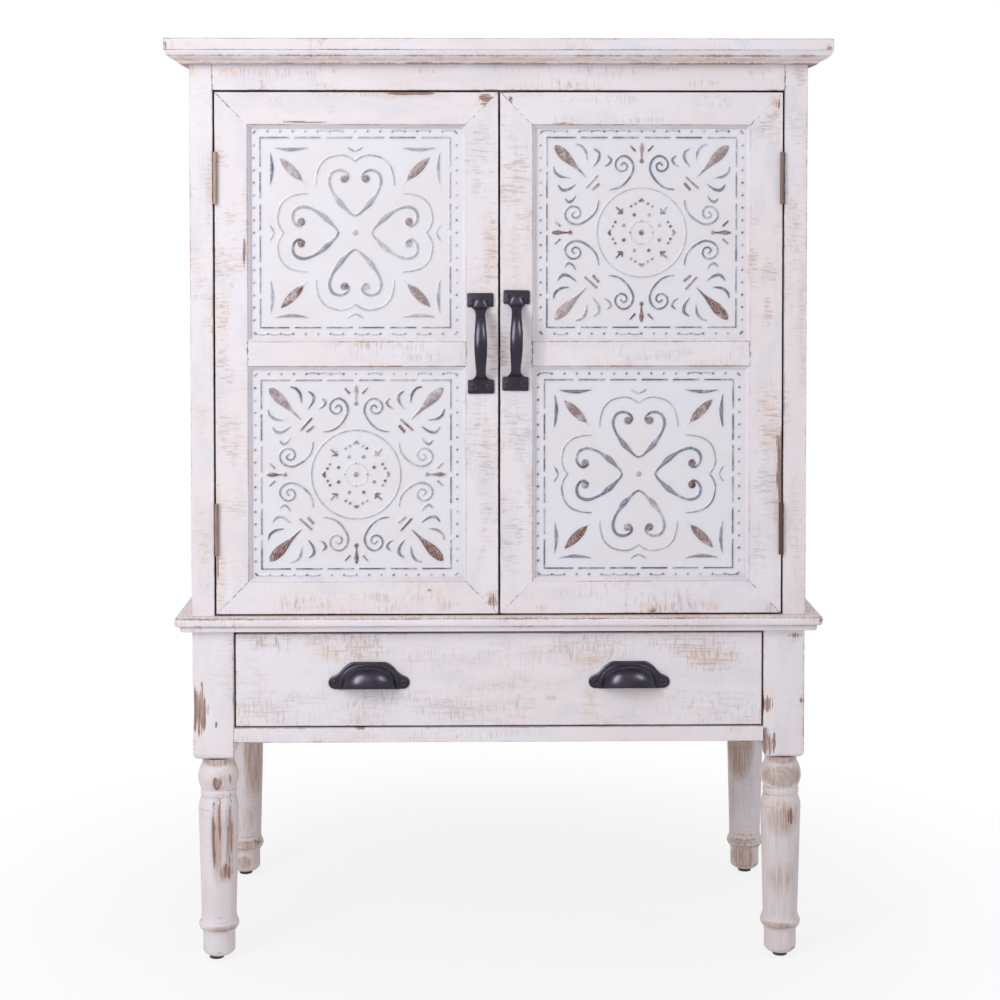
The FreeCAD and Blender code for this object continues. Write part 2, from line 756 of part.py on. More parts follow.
def make_cup_pulls():
    for word, side in SIDES:
        name = f"{word}_cup_pull"
        body = new_body(name + "_flange")
        flange = new_sketch(body, name + "_outline", "XZ_Plane")
        ear_x = f"cup_ear_x + {EAR_END_SHARES[0]} * cup_ear_radius"
        ear_z = f"{EAR_END_SHARES[1]} * cup_ear_radius"
        ear_bow = f"{EAR_BOW_SHARE} * cup_ear_radius"
        top = "cup_top_width / 2"
        outline(flange, [("-cup_ear_x", "0"), ("cup_ear_x", "0", ear_bow), (ear_x, ear_z),
                         (top, "cup_height"), (f"-{top}", "cup_height"),
                         (f"-({ear_x})", ear_z, ear_bow)])
        pad(body, name + "_flange_pad", flange, "cup_flange")
        front_half = box(name + "_front_half", ("cup_dome_width", "cup_projection", "cup_dome_height"),
                         ("-cup_dome_width / 2", "-cup_projection", "0"))
        dome = common(name + "_dome", cup_dome(name + "_ellipsoid", "0"), front_half)
        solid = fuse(name + "_solid", [body, dome])
        holes = [cylinder(f"{name}_hole_{index}", "cup_screw_radius + joint_gap", "2 * overrun",
                          (f"{ear} * cup_ear_x", "-overrun", "cup_ear_radius"), "+Y")
                 for index, ear in enumerate((-1, 1))]
        pull = cut(name, solid, [cup_dome(name + "_hollow", "cup_wall")] + holes)
        place(pull, (f"{side} * cup_spacing / 2", "drawer_front_y", CUP_BASE_Z))
        node(pull)
    screws = []
    for index, x in enumerate(cup_screw_places()):
        start = (x, "drawer_front_y - cup_flange", f"{CUP_BASE_Z} + cup_ear_radius")
        shank = cylinder(f"cup_shank_{index}", "cup_screw_radius", "cup_screw_length + cup_flange",
                         start, "+Y")
        head = cylinder(f"cup_head_{index}", "cup_screw_head", "cup_screw_head_height", start, "-Y")
        screws.append(fuse(f"cup_screw_{index}", [shank, head]))
    node(group("cup_pull_screws", screws))


# Hinges

HINGE_LEVELS = (("lower", "door_bottom + hinge_inset"),
                ("upper", "door_bottom + door_height - hinge_inset"))
KNUCKLES = {"frame": (0, 2, 4), "door": (1, 3)}


def leaf_near(part):
    """How far from the middle plane a leaf's plate begins."""
    if part == "frame":
        return "opening_width / 2 - leaf_thickness"
    return "opening_width / 2 - door_gap"


def hinge_screw(name, side, part, z, gap, whole):
    """A countersunk screw through a leaf, or the room for one where gap is not zero.

    The frame's screws point away from the middle plane and the door's towards it. Without
    whole only the head is made, which is the hole that a leaf needs.
    """
    outward = part == "frame"
    head_x = leaf_near(part) if outward else f"{leaf_near(part)} + leaf_thickness"
    way = "+X" if outward == (side > 0) else "-X"
    sign = side if outward else -side
    y = "face_y + hinge_screw_depth"
    head = cone(name + "_head", f"hinge_screw_head + {gap}", f"hinge_screw_radius + {gap}",
                "leaf_thickness", (f"{side} * ({head_x})", y, z), way)
    if not whole:
        return [head]
    shank_start = f"{side} * ({head_x}) + {sign} * leaf_thickness"
    shank = cylinder(name + "_shank", f"hinge_screw_radius + {gap}",
                     f"hinge_screw_length + {gap}", (shank_start, y, z), way)
    return [shank, head] if gap == "0" else [shank]


def hinge_screw_heights(centre):
    return [f"{centre} + {end} * hinge_screw_spacing / 2" for end in (-1, 1)]


def hinge_screw_holes(word, side, name, part):
    """The holes in a stile for the screws of both its hinges."""
    return [hole for place_word, centre in HINGE_LEVELS
            for index, z in enumerate(hinge_screw_heights(centre))
            for hole in hinge_screw(f"{name}_{part}_hole_{place_word}_{index}", side, part, z,
                                    "joint_gap", True)]


def hinge_leaf(name, side, part, centre):
    """A leaf plate in the door gap, with its knuckles round the pin in front of the face."""
    foot = f"{centre} - hinge_length / 2"
    low_x = across(side, leaf_near(part), "leaf_thickness")
    pieces = [box(name + "_plate", ("leaf_thickness", "leaf_width", "hinge_length"),
                  (low_x, "face_y", foot))]
    for index in KNUCKLES[part]:
        z = f"{foot} + {index} * (knuckle_height + knuckle_gap)"
        pieces.append(cylinder(f"{name}_knuckle_{index}", "barrel_radius", "knuckle_height",
                               (f"{side} * hinge_axis_x", "hinge_axis_y", z)))
        pieces.append(box(f"{name}_tab_{index}", ("leaf_thickness", "barrel_forward", "knuckle_height"),
                          (low_x, "hinge_axis_y", z)))
    tools = [cylinder(name + "_bore", "hinge_pin_radius + hinge_pin_gap", "hinge_length + 2 * overrun",
                      (f"{side} * hinge_axis_x", "hinge_axis_y", f"{foot} - overrun"))]
    for index, z in enumerate(hinge_screw_heights(centre)):
        tools += hinge_screw(f"{name}_screw_room_{index}", side, part, z, "joint_gap", False)
    return cut(name, fuse(name + "_solid", pieces), tools)


def hinge_screws(name, side, part, centre):
    return [fuse(f"{name}_{index}", hinge_screw(f"{name}_{index}", side, part, z, "0", True))
            for index, z in enumerate(hinge_screw_heights(centre))]


def make_frame_hinges():
    """The leaves, screws and pins that stay on the case."""
    leaves = []
    screws = []
    pins = []
    for word, side in SIDES:
        for place_word, centre in HINGE_LEVELS:
            name = f"{word}_{place_word}_hinge"
            leaves.append(hinge_leaf(name + "_frame_leaf", side, "frame", centre))
            screws += hinge_screws(name + "_frame_screw", side, "frame", centre)
            axis = (f"{side} * hinge_axis_x", "hinge_axis_y")
            foot = f"{centre} - hinge_length / 2"
            shaft = cylinder(name + "_pin_shaft", "hinge_pin_radius", "hinge_length", (*axis, foot))
            heads = [cylinder(f"{name}_pin_head_{index}", "barrel_radius", "hinge_pin_head",
                              (*axis, z))
                     for index, z in enumerate((f"{foot} - hinge_pin_head",
                                                f"{foot} + hinge_length"))]
            pins.append(fuse(name + "_pin", [shaft] + heads))
    node(group("hinge_frame_leaves", leaves))
    node(group("hinge_frame_screws", screws))
    node(group("hinge_pins", pins))


# Doors

def frame_member(name, length, corner, turn):
    """A mitred door frame member: bevelled inside edge, and a rebate behind it."""
    section = [("0", "0"), ("frame_face", "0"), ("frame_reach", "bevel_depth"),
               ("frame_reach", "frame_lip"), ("frame_reach - rebate_width", "frame_lip"),
               ("frame_reach - rebate_width", "door_thickness"), ("0", "door_thickness")]
    member = mitred_strip(name, section, "frame_reach", length, False)
    place(member, corner, Rotation(AXIS_Y, turn))
    return member


def make_mid_rail(name, middle_x, middle_z, stiles):
    """The rail between the tiles, coped over the bevels of both stiles."""
    body = new_body(name + "_blank")
    section = new_sketch(body, name + "_section", "YZ_Plane")
    face = "mid_rail_face / 2"
    edge = "mid_rail_face / 2 + bevel_width"
    spine = "mid_rail_spine / 2"
    upper = [("0", face), ("bevel_depth", edge), ("frame_lip", edge), ("frame_lip", spine),
             ("frame_lip + tile_thickness", spine)]
    lower = [(depth, f"-({height})") for depth, height in reversed(upper)]
    outline(section, upper + lower)
    pad(body, name + "_pad", section, "door_width - 2 * frame_face", symmetric=True)
    place(body, (middle_x, "face_y", middle_z))
    node(cut(name, body, stiles))


def pull_screw_places(centre_x, centre_z):
    """Two screws in each plate of a pull."""
    return [(f"{centre_x} + {across_end} * pull_screw_spacing / 2",
             f"{centre_z} + {end} * (pull_height - pull_plate_height) / 2")
            for across_end in (-1, 1) for end in (-1, 1)]


def make_pull(name, centre_x, centre_z):
    """A bowed pull: the side outline and the front outline, each padded, have it in common."""
    profile = new_body(name + "_side")
    bow = new_sketch(profile, name + "_side_outline", "YZ_Plane")
    half = "pull_height / 2"
    outer = "pull_plate_z"
    inner = "pull_plate_z - pull_plate_thickness / 2"
    outline(bow, [("0", f"-{half}"), ("0", f"-({inner})", "-(pull_projection - pull_bow_thickness)"),
                  ("0", inner), ("0", half), ("-pull_plate_thickness", half),
                  ("-pull_plate_thickness", outer, "pull_projection - pull_plate_thickness"),
                  ("-pull_plate_thickness", f"-{outer}"), ("-pull_plate_thickness", f"-{half}")])
    pad(profile, name + "_side_pad", bow, "pull_width", symmetric=True)
    front = new_body(name + "_front")
    face = new_sketch(front, name + "_front_outline", "XZ_Plane")
    neck = "pull_neck_width / 2"
    shoulder = "pull_shoulder_width / 2"
    shoulder_z = "pull_plate_z - pull_shoulder_drop"
    belly = "(pull_belly_width - pull_neck_width) / 2"
    plate = "pull_width / 2"
    right = [(plate, f"-{half}"), (plate, f"-{outer}"), (shoulder, f"-({shoulder_z})", "-pull_neck_bow"),
             (neck, "-pull_neck_rise", belly), (neck, "pull_neck_rise", "-pull_neck_bow"),
             (shoulder, shoulder_z), (plate, outer), (plate, half)]
    left = [(f"-{plate}", half), (f"-{plate}", outer), (f"-{shoulder}", shoulder_z, "-pull_neck_bow"),
            (f"-{neck}", "pull_neck_rise", belly), (f"-{neck}", "-pull_neck_rise", "-pull_neck_bow"),
            (f"-{shoulder}", f"-({shoulder_z})"), (f"-{plate}", f"-{outer}"), (f"-{plate}", f"-{half}")]
    outline(face, right + left)
    pad(front, name + "_front_pad", face, "2 * pull_projection", symmetric=True)
    solid = common(name + "_solid", profile, front)
    place(solid, (centre_x, "face_y", centre_z))
    holes = [cylinder(f"{name}_hole_{index}", "pull_screw_radius + joint_gap", "2 * overrun",
                      (x, "face_y + overrun", z), "-Y")
             for index, (x, z) in enumerate(pull_screw_places(centre_x, centre_z))]
    node(cut(name, solid, holes))
    screws = []
    for index, (x, z) in enumerate(pull_screw_places(centre_x, centre_z)):
        start = (x, "face_y - pull_plate_thickness", z)
        shank = cylinder(f"{name}_shank_{index}", "pull_screw_radius",
                         "pull_screw_length + pull_plate_thickness", start, "+Y")
        head = cylinder(f"{name}_head_{index}", "pull_screw_head", "pull_screw_head_height", start, "-Y")
        screws.append(fuse(f"{name}_screw_{index}", [shank, head]))
    node(group(name + "_screws", screws))


def make_door(word, side):
    name = f"{word}_door"
    low_x = "door_gap - opening_width / 2" if side < 0 else "door_gap / 2"
    high_x = f"{low_x} + door_width"
    middle_x = f"{low_x} + door_width / 2"
    top_z = "door_bottom + door_height"
    middle_z = "door_bottom + door_height / 2"
    pull_x = f"{side} * {word}_pull_inset"
    pull_z = f"door_bottom + {word}_pull_rise"
    left = frame_member(f"{name}_left_member", "door_height", (low_x, "face_y", middle_z), 0)
    right = frame_member(f"{name}_right_member", "door_height", (high_x, "face_y", middle_z), 180)
    hinge_stile, lock_stile = (left, right) if side < 0 else (right, left)
    node(cut(f"{name}_hinge_stile", hinge_stile, hinge_screw_holes(word, side, name, "door")))
    pull_holes = [cylinder(f"{name}_pull_hole_{index}", "pull_screw_radius + joint_gap",
                           "pull_screw_length + joint_gap", (x, "face_y", z), "+Y")
                  for index, (x, z) in enumerate(pull_screw_places(pull_x, pull_z))]
    node(cut(f"{name}_lock_stile", lock_stile, pull_holes))
    node(frame_member(f"{name}_top_rail", "door_width", (middle_x, "face_y", top_z), 90))
    node(frame_member(f"{name}_bottom_rail", "door_width", (middle_x, "face_y", "door_bottom"), -90))
    make_mid_rail(f"{name}_mid_rail", middle_x, middle_z, [left, right])

    panel_x = f"{middle_x} - panel_width / 2"
    tile_y = "face_y + frame_lip"
    half_step = "mid_rail_spine / 2 + tile_gap"
    node(box(f"{name}_upper_tile", ("panel_width", "tile_thickness", "tile_height"),
             (panel_x, tile_y, f"{middle_z} + {half_step}")))
    node(box(f"{name}_lower_tile", ("panel_width", "tile_thickness", "tile_height"),
             (panel_x, tile_y, f"{middle_z} - ({half_step}) - tile_height")))
    node(box(f"{name}_backing", ("panel_width", "backing_thickness", "panel_height"),
             (panel_x, f"{tile_y} + tile_thickness", f"{middle_z} - panel_height / 2")))

    make_pull(f"{name}_pull", pull_x, pull_z)
    node(group(f"{word}_hinge_door_leaves",
               [hinge_leaf(f"{name}_{place_word}_leaf", side, "door", centre)
                for place_word, centre in HINGE_LEVELS]))
    node(group(f"{word}_hinge_door_screws",
               [screw for place_word, centre in HINGE_LEVELS
                for screw in hinge_screws(f"{name}_{place_word}_screw", side, "door", centre)]))
    strike_near = "door_gap / 2 + strike_inset"
    node(box(f"{word}_strike_plate", ("strike_width", "strike_thickness", "strike_height"),
             (across(side, strike_near, "strike_width"), "door_back_y",
              f"{top_z} - strike_height")))


def check_document():
    """Stop if any object failed, any sub-part is no sound shape, or a pocket cut nothing."""
    for item in doc.Objects:
        if "Invalid" in item.State or "Error" in item.State:
            raise RuntimeError(f"{item.Name} did not recompute: {item.State}")
        if item.TypeId == "PartDesign::Pocket" and item.BaseFeature:
            if item.Shape.Volume > item.BaseFeature.Shape.Volume - MATCH:
                raise RuntimeError(f"{item.Name} cut nothing")
    for piece in nodes:
        if piece.Shape.isNull() or not piece.Shape.isValid() or not piece.Shape.Solids:
            raise RuntimeError(f"{piece.Label} has no sound shape")
    labels = [piece.Label for piece in nodes]
    if len(set(labels)) != len(labels):
        raise RuntimeError("two sub-parts share a label")


make_top()
make_moulding()
make_face_frame()
make_panels()
make_shelf()
make_catch()
make_frame_hinges()
make_stand_board()
make_stand()
make_runners()
make_drawer()
make_cup_pulls()
for word, side in SIDES:
    make_door(word, side)
doc.recompute()
check_document()

os.makedirs("parts", exist_ok=True)
for piece in nodes:
    piece.Shape.exportStep(f"parts/{piece.Label}.step")
print(f"{len(nodes)} sub-parts written")
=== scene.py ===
import math
import random

import bmesh
import bpy
import numpy as np
from mathutils import Matrix, Vector


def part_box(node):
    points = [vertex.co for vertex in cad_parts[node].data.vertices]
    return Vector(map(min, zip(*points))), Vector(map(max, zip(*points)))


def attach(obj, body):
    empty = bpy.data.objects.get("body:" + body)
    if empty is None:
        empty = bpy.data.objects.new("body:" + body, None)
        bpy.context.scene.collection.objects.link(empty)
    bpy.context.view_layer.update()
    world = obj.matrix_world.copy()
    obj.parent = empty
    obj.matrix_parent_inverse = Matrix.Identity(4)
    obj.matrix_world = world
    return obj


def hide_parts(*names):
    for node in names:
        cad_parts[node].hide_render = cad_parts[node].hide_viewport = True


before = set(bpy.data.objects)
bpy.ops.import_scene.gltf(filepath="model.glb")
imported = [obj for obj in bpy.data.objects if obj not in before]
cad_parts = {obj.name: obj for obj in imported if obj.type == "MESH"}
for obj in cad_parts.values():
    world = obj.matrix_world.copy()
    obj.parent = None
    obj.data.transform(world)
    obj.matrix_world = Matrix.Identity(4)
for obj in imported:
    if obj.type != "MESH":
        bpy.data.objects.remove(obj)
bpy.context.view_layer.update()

# Camera
# It stands in front of the cabinet, a little left of its middle and high, and looks down slightly.
# Its place and turn were solved from the photograph's straight edges; the shift frames the legs.
CAMERA_PLACE = Vector((-0.0351, -2.5428, 0.9071))
CAMERA_YAW = -0.0152
CAMERA_DIP = 0.0311
CAMERA_ROLL = -0.0002
CAMERA_LENS = 70.67
CAMERA_SHIFT = -0.2177

scene = bpy.context.scene
scene.view_settings.view_transform = "Standard"
camera = bpy.data.objects.new("camera", bpy.data.cameras.new("camera"))
scene.collection.objects.link(camera)
scene.camera = camera
camera.data.lens = CAMERA_LENS
camera.data.sensor_width = 36
camera.data.shift_y = CAMERA_SHIFT
camera.data.clip_end = 40
facing = (Matrix.Rotation(CAMERA_YAW, 4, "Z") @ Matrix.Rotation(-CAMERA_DIP, 4, "X")
          @ Matrix.Rotation(-CAMERA_ROLL, 4, "Y") @ Matrix.Rotation(math.radians(90), 4, "X"))
camera.matrix_world = Matrix.Translation(CAMERA_PLACE) @ facing

# Studio
# A pale floor under a white room, with a broad soft lamp on the left and a weak one on the
# right. Two tall softboxes above them light nothing, and are what the black pulls reflect.
ROOM_LIGHT = 0.585
# Place, watts, width and height of each lamp, and whether it is only seen in reflections
LAMPS = {
    "soft_lamp": ((-0.9, -1.5, 1.4), 8.4, 0.9, 1.2, False),
    "left_lamp": ((-1.55, -1.9, 1.6), 9.6, 0.22, 1.3, False),
    "right_lamp": ((1.9, -1.4, 1.5), 2.4, 0.12, 1.2, False),
    "left_softbox": ((-1.4, -2.0, 1.8), 98.0, 0.85, 2.4, True),
    "right_softbox": ((1.55, -2.0, 2.35), 60.0, 0.80, 1.5, True),
}
LAMP_AIM = Vector((0, 0, 0.62))
FLOOR_REACH = 9.0
FLOOR_COLOUR = (0.88, 0.88, 0.88, 1)
# How much of the floor near the cabinet is shown as the white ground, shadow and all
FLOOR_SHOWN = 0.80
# From how far to how far out the floor fades into the ground, in metres
FLOOR_FADE = (0.30, 0.95)
WHITE = (1, 1, 1, 1)


def add_node(tree, kind, inputs=(), **settings):
    """Add a node, set or link its inputs by name or in order, and return its outputs."""
    node = tree.nodes.new("ShaderNode" + kind)
    for name, value in settings.items():
        setattr(node, name, value)
    for key, value in inputs.items() if isinstance(inputs, dict) else enumerate(inputs):
        if isinstance(value, bpy.types.NodeSocket):
            tree.links.new(value, node.inputs[key])
        else:
            node.inputs[key].default_value = value
    return node.outputs


def maths(operation, *values, clamp=False):
    """A Math node, in the tree that its first socket is in."""
    tree = next(value.id_data for value in values if isinstance(value, bpy.types.NodeSocket))
    return add_node(tree, "Math", values, operation=operation, use_clamp=clamp)[0]


def chained(operation):
    """A function that joins its values by one operation, from the first to the last."""
    def chain(first, *others, clamp=False):
        for other in others:
            first = maths(operation, first, other, clamp=clamp)
        return first
    return chain


times, most = map(chained, ("MULTIPLY", "MAXIMUM"))


def scaled(value, factor, start):
    return maths("MULTIPLY_ADD", value, factor, start)


def rising(value, low, high):
    """0 below low, 1 above high, and smooth between. Low may be the larger."""
    return add_node(value.id_data, "MapRange", {"Value": value, "From Min": low, "From Max": high},
                    interpolation_type="SMOOTHSTEP")["Result"]


def seen_directly(tree):
    """1 for what the camera sees, also in metal or through glass, and 0 for light on its way."""
    rays = add_node(tree, "LightPath")
    return most(*(rays[f"Is {kind} Ray"] for kind in ("Camera", "Glossy", "Transmission")))


def new_material(name):
    """An empty material, and each point's own place on the object."""
    material = bpy.data.materials.new(name)
    material.use_nodes = True
    material.node_tree.nodes.clear()
    return material, add_node(material.node_tree, "TexCoord")["Object"]


def add_object(name, mesh):
    """Put a bmesh into the scene as an object, and free it."""
    data = bpy.data.meshes.new(name)
    mesh.to_mesh(data)
    mesh.free()
    made = bpy.data.objects.new(name, data)
    scene.collection.objects.link(made)
    return made


room = bpy.data.worlds.new("room")
scene.world = room
room.use_nodes = True
tree = room.node_tree
tree.nodes.clear()
lit = add_node(tree, "Background", {"Color": WHITE, "Strength": ROOM_LIGHT})[0]
shown = add_node(tree, "Background", {"Color": WHITE, "Strength": 1.0})[0]
both = add_node(tree, "MixShader", [seen_directly(tree), lit, shown])[0]
add_node(tree, "OutputWorld", [both])

for name, (spot, watts, width, tall, reflected) in LAMPS.items():
    lamp = bpy.data.objects.new(name, bpy.data.lights.new(name, "AREA"))
    scene.collection.objects.link(lamp)
    lamp.data.shape = "RECTANGLE"
    lamp.data.size, lamp.data.size_y = width, tall
    lamp.data.energy = watts
    lamp.location = spot
    lamp.visible_camera = False
    lamp.visible_diffuse = not reflected
    lamp.rotation_euler = (LAMP_AIM - lamp.location).to_track_quat("-Z", "Y").to_euler()

floor_mesh = bmesh.new()
bmesh.ops.create_grid(floor_mesh, x_segments=1, y_segments=1, size=FLOOR_REACH)
floor = add_object("floor", floor_mesh)
floor_material, place = new_material("floor")
floor.data.materials.append(floor_material)
tree = floor_material.node_tree
away = add_node(tree, "VectorMath", [place], operation="LENGTH")["Value"]
paper = add_node(tree, "BsdfDiffuse", {"Color": FLOOR_COLOUR})[0]
glow = add_node(tree, "Emission", {"Color": WHITE, "Strength": 1.0})[0]
far = scaled(rising(away, *FLOOR_FADE), 1 - FLOOR_SHOWN, FLOOR_SHOWN)
both = add_node(tree, "MixShader", [times(seen_directly(tree), far), paper, glow])[0]
add_node(tree, "OutputMaterial", [both])

# Top board
# One wide plank with slightly rounded arrises, whitewashed over brown stain and rubbed back.
# It lies on the case and covers the moulding; the stain shows in a broken line along its edges.
PAINT_COOL = (0.84, 0.80, 0.86, 1)
PAINT_PINK = (0.835, 0.768, 0.80, 1)
PAINT_HAZE = (0.73, 0.71, 0.78, 1)
THIN_PAINT = (0.55, 0.455, 0.44, 1)
PEACH = (0.80, 0.64, 0.565, 1)
TAN = (0.57, 0.41, 0.34, 1)
WOOD = (0.47, 0.315, 0.255, 1)
WASH = (0.43, 0.295, 0.235, 1)
STAIN = (0.25, 0.125, 0.095, 1)
# Dark brown painted shade for the gaps between parts
GAP_SHADE = (0.050, 0.026, 0.024, 1)
ARRIS_GREY = (0.19, 0.155, 0.175, 1)
GRAIN_ACROSS = (0, math.radians(90), 0)
# How far from an arris the line on it has faded away, and is still whole
LINE_FADE = (0.0022, 0.0012)

plus, minus, least = map(chained, ("ADD", "SUBTRACT", "MINIMUM"))


def blended(amount, first, second):
    return add_node(amount.id_data, "Mix", {0: amount, 6: first, 7: second}, data_type="RGBA")[2]


def new_group(name, vectors, numbers, outputs):
    """A shader node group with vector and number inputs, and the sockets that start and end it."""
    group = bpy.data.node_groups.new(name, "ShaderNodeTree")
    for socket in vectors:
        group.interface.new_socket(socket, in_out="INPUT", socket_type="NodeSocketVector")
    for socket, value in numbers.items():
        made = group.interface.new_socket(socket, in_out="INPUT", socket_type="NodeSocketFloat")
        made.default_value = value
    for socket in outputs:
        kind = "NodeSocketColor" if socket == "Color" else "NodeSocketFloat"
        group.interface.new_socket(socket, in_out="OUTPUT", socket_type=kind)
    return group, group.nodes.new("NodeGroupInput").outputs, group.nodes.new("NodeGroupOutput").inputs


def finish_group(group, result, **found):
    for name, value in found.items():
        group.links.new(value, result[name])
    return group


def vector(operation, *values):
    return add_node(values[0].id_data, "VectorMath", values, operation=operation)[0]


def parts(place):
    return add_node(place.id_data, "SeparateXYZ", [place])


def marks(place, per_metre, detail=3.0, roughness=0.6):
    """Noise whose marks come per_metre times a metre along X, Y and Z."""
    spread = vector("MULTIPLY", place, per_metre)
    return add_node(place.id_data, "TexNoise", {"Vector": spread, "Scale": 1.0, "Detail": detail,
                                                "Roughness": roughness})[0]


def make_whitewash_group():
    """Thin white paint over brown stain: saw marks across the grain, streaks along it, and wear.

    Edge is the distance to the nearest arris and Joint to the nearest joint line, in metres. Tan,
    Hatch and Bare are 1 where the paint is thin, scored and gone, and Wash where stain lies over it;
    Line is 1 on the grey and brown lines along arrises, which are partly painted shade, and Dark is
    1 in the gaps between parts, which it paints dark brown as painted shade.
    """
    group, given, result = new_group(
        "whitewash", ("Place",), {"Edge": 1.0, "Joint": 1.0, "Tan": 0.0, "Hatch": 0.0, "Bare": 0.0,
                                  "Line": 0.0, "Dark": 0.0, "Wash": 0.0, "Weave": 0.25, "Age": 0.5,
                                  "Saw": 0.5, "Seed": 0.0}, ("Color", "Roughness", "Height"))
    shift = add_node(group, "CombineXYZ", [given["Seed"]] * 3)[0]
    place = vector("ADD", given["Place"], shift)
    clouds = marks(place, (11, 11, 5), 4.0)
    haze = marks(place, (34, 34, 13), 4.0, 0.65)
    across = marks(place, (62, 62, 430))
    along = marks(place, (430, 430, 22))
    ragged = marks(place, (230, 230, 130), 4.0, 0.65)
    broad = marks(place, (30, 30, 12))

    # What makes a mask's edge ragged, and streaky along the grain
    uneven = scaled(haze, 1.5, scaled(ragged, 1.2, -1.35))
    streaky = scaled(along, 2.6, scaled(uneven, 0.7, -1.3))

    def ragged_mask(mask, wobble, low, high):
        return times(rising(plus(mask, wobble), low, high), rising(mask, 0.0, 0.12))

    # The paint, and the scored lines where it is thin
    color = blended(rising(clouds, 0.40, 0.62), PAINT_COOL, PAINT_PINK)
    color = blended(times(rising(haze, 0.44, 0.68), 0.62), color, PAINT_HAZE)
    lines = most(rising(across, 0.49, 0.63), times(rising(along, 0.50, 0.64), given["Weave"]))
    scored = times(scaled(rising(broad, 0.50, 0.68), 0.34, 0.07), given["Saw"])
    hatch = ragged_mask(given["Hatch"], uneven, 0.05, 0.60)
    scored = times(lines, plus(scored, times(hatch, 0.6)))
    color = blended(least(scored, 0.85), color, THIN_PAINT)

    # Stain that lies over it, and the warm colours near the arrises
    wash = times(given["Wash"], scaled(haze, 1.2, 0.9), clamp=True)
    wash = times(wash, scaled(along, 2.2, -0.30), clamp=True)
    color = blended(times(wash, 0.9), color, WASH)
    near = rising(given["Edge"], 0.014, 0.0)
    tan = times(rising(broad, 0.46, 0.70), near, times(given["Age"], 0.7))
    tan = most(tan, ragged_mask(given["Tan"], uneven, 0.05, 0.85))
    color = blended(times(tan, 0.42), color, PEACH)
    color = blended(times(lines, 0.52, tan), color, TAN)

    # Bare wood at the arrises and in the gouges, then the dark lines and joints, and the painted shade
    # in the gaps
    width = scaled(times(rising(broad, 0.32, 0.75), given["Age"]), 0.0021, 0.0003)
    bite = times(width, scaled(ragged, 3.4, -1.0))
    rubbed = times(rising(minus(given["Edge"], bite), 0.0004, -0.0005), scaled(haze, 0.9, 0.30))
    joint = rising(minus(given["Joint"], scaled(ragged, 0.0080, -0.0034)), 0.0003, -0.0004)
    broken = times(rising(haze, 0.41, 0.56), rising(ragged, 0.38, 0.53))
    joint = times(broken, 0.85, joint)
    gone = ragged_mask(given["Bare"], streaky, 0.12, 0.42)
    bare = most(rubbed, gone, clamp=True)
    wood = blended(rising(scaled(haze, 0.5, along), 0.64, 0.84), WOOD, STAIN)
    color = blended(times(bare, 0.88), color, wood)
    coming = scaled(rising(broad, 0.40, 0.58), 0.55, 0.45)
    line = most(times(given["Line"], coming, scaled(ragged, 1.5, 0.1)), joint, clamp=True)
    line_color = blended(rising(broad, 0.50, 0.62), ARRIS_GREY, STAIN)
    color = blended(line, color, line_color)
    # Painted shade in the gaps between parts, over everything else
    color = blended(given["Dark"], color, GAP_SHADE)
    height = scaled(bare, -0.7, scaled(scored, -0.8, times(clouds, 0.5)))
    return finish_group(group, result, Color=color, Roughness=scaled(bare, 0.12, 0.62),
                        Height=height)


def make_board_edges_group():
    """For a point on a board's surface, how far the nearest arris is."""
    group, given, result = new_group("board_edges", ("Place", "Low", "High"), {}, ("Edge",))
    x, y, z = parts(vector("MINIMUM", vector("SUBTRACT", given["Place"], given["Low"]),
                           vector("SUBTRACT", given["High"], given["Place"])))
    middle = minus(plus(x, y, z), plus(least(x, y, z), most(x, y, z)))
    return finish_group(group, result, Edge=middle)


WHITEWASH = make_whitewash_group()
BOARD_EDGES = make_board_edges_group()
seeds = random.Random(11)
MM = 0.001
TOUCH = 1e-6
# A worn place is listed by the reach that shows; its mask fades out a little further on, and
# round the corner within this depth
WORN_EASE = 1.45
WORN_DEPTH = 0.030
# Faces that meet at less than the first angle are one flat face, and those that meet at more
# than the second have a sharp arris
FLAT_ANGLE = math.radians(0.6)
SHARP_ANGLE = math.radians(25)
# An edge slants when less than this share of it runs along one axis
SQUARE_SHARE = 0.98


def board_edges(place, node):
    low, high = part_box(node)
    inputs = {"Place": place, "Low": low, "High": high}
    return {"Edge": add_node(place.id_data, "Group", inputs, node_tree=BOARD_EDGES)["Edge"]}


def grained(place, grain):
    return add_node(place.id_data, "Mapping", {"Vector": place, "Rotation": grain})[0]


def surfaced(material, color, roughness, bump=(), others=()):
    """Give the material its surface. Bump holds a height, its strength and its depth in metres."""
    tree = color.id_data
    inputs = {"Base Color": color, "Roughness": roughness, **dict(others)}
    if bump:
        heights = dict(zip(("Height", "Strength", "Distance"), bump))
        inputs["Normal"] = add_node(tree, "Bump", heights)[0]
    add_node(tree, "OutputMaterial", [add_node(tree, "BsdfPrincipled", inputs)[0]])
    return material


def worn_places(place, places, front):
    """The whitewash's masks: for each one's name, middles and reaches in mm, and strengths."""
    masks = {}
    for kind, spots in dict(places).items():
        masks[kind] = 0.0
        for x, z, reach_x, reach_z, strength in spots:
            wide, high = 1 / (WORN_EASE * reach_x), 1 / (WORN_EASE * reach_z)
            share = add_node(place.id_data, "Mapping",
                             {"Vector": place, "Location": (-x * wide, -front / WORN_DEPTH, -z * high),
                              "Scale": (wide / MM, 1 / WORN_DEPTH, high / MM)})[0]
            ball = add_node(place.id_data, "TexGradient", [share], gradient_type="SPHERICAL")["Fac"]
            masks[kind] = most(masks[kind], times(ball, strength))
    return masks


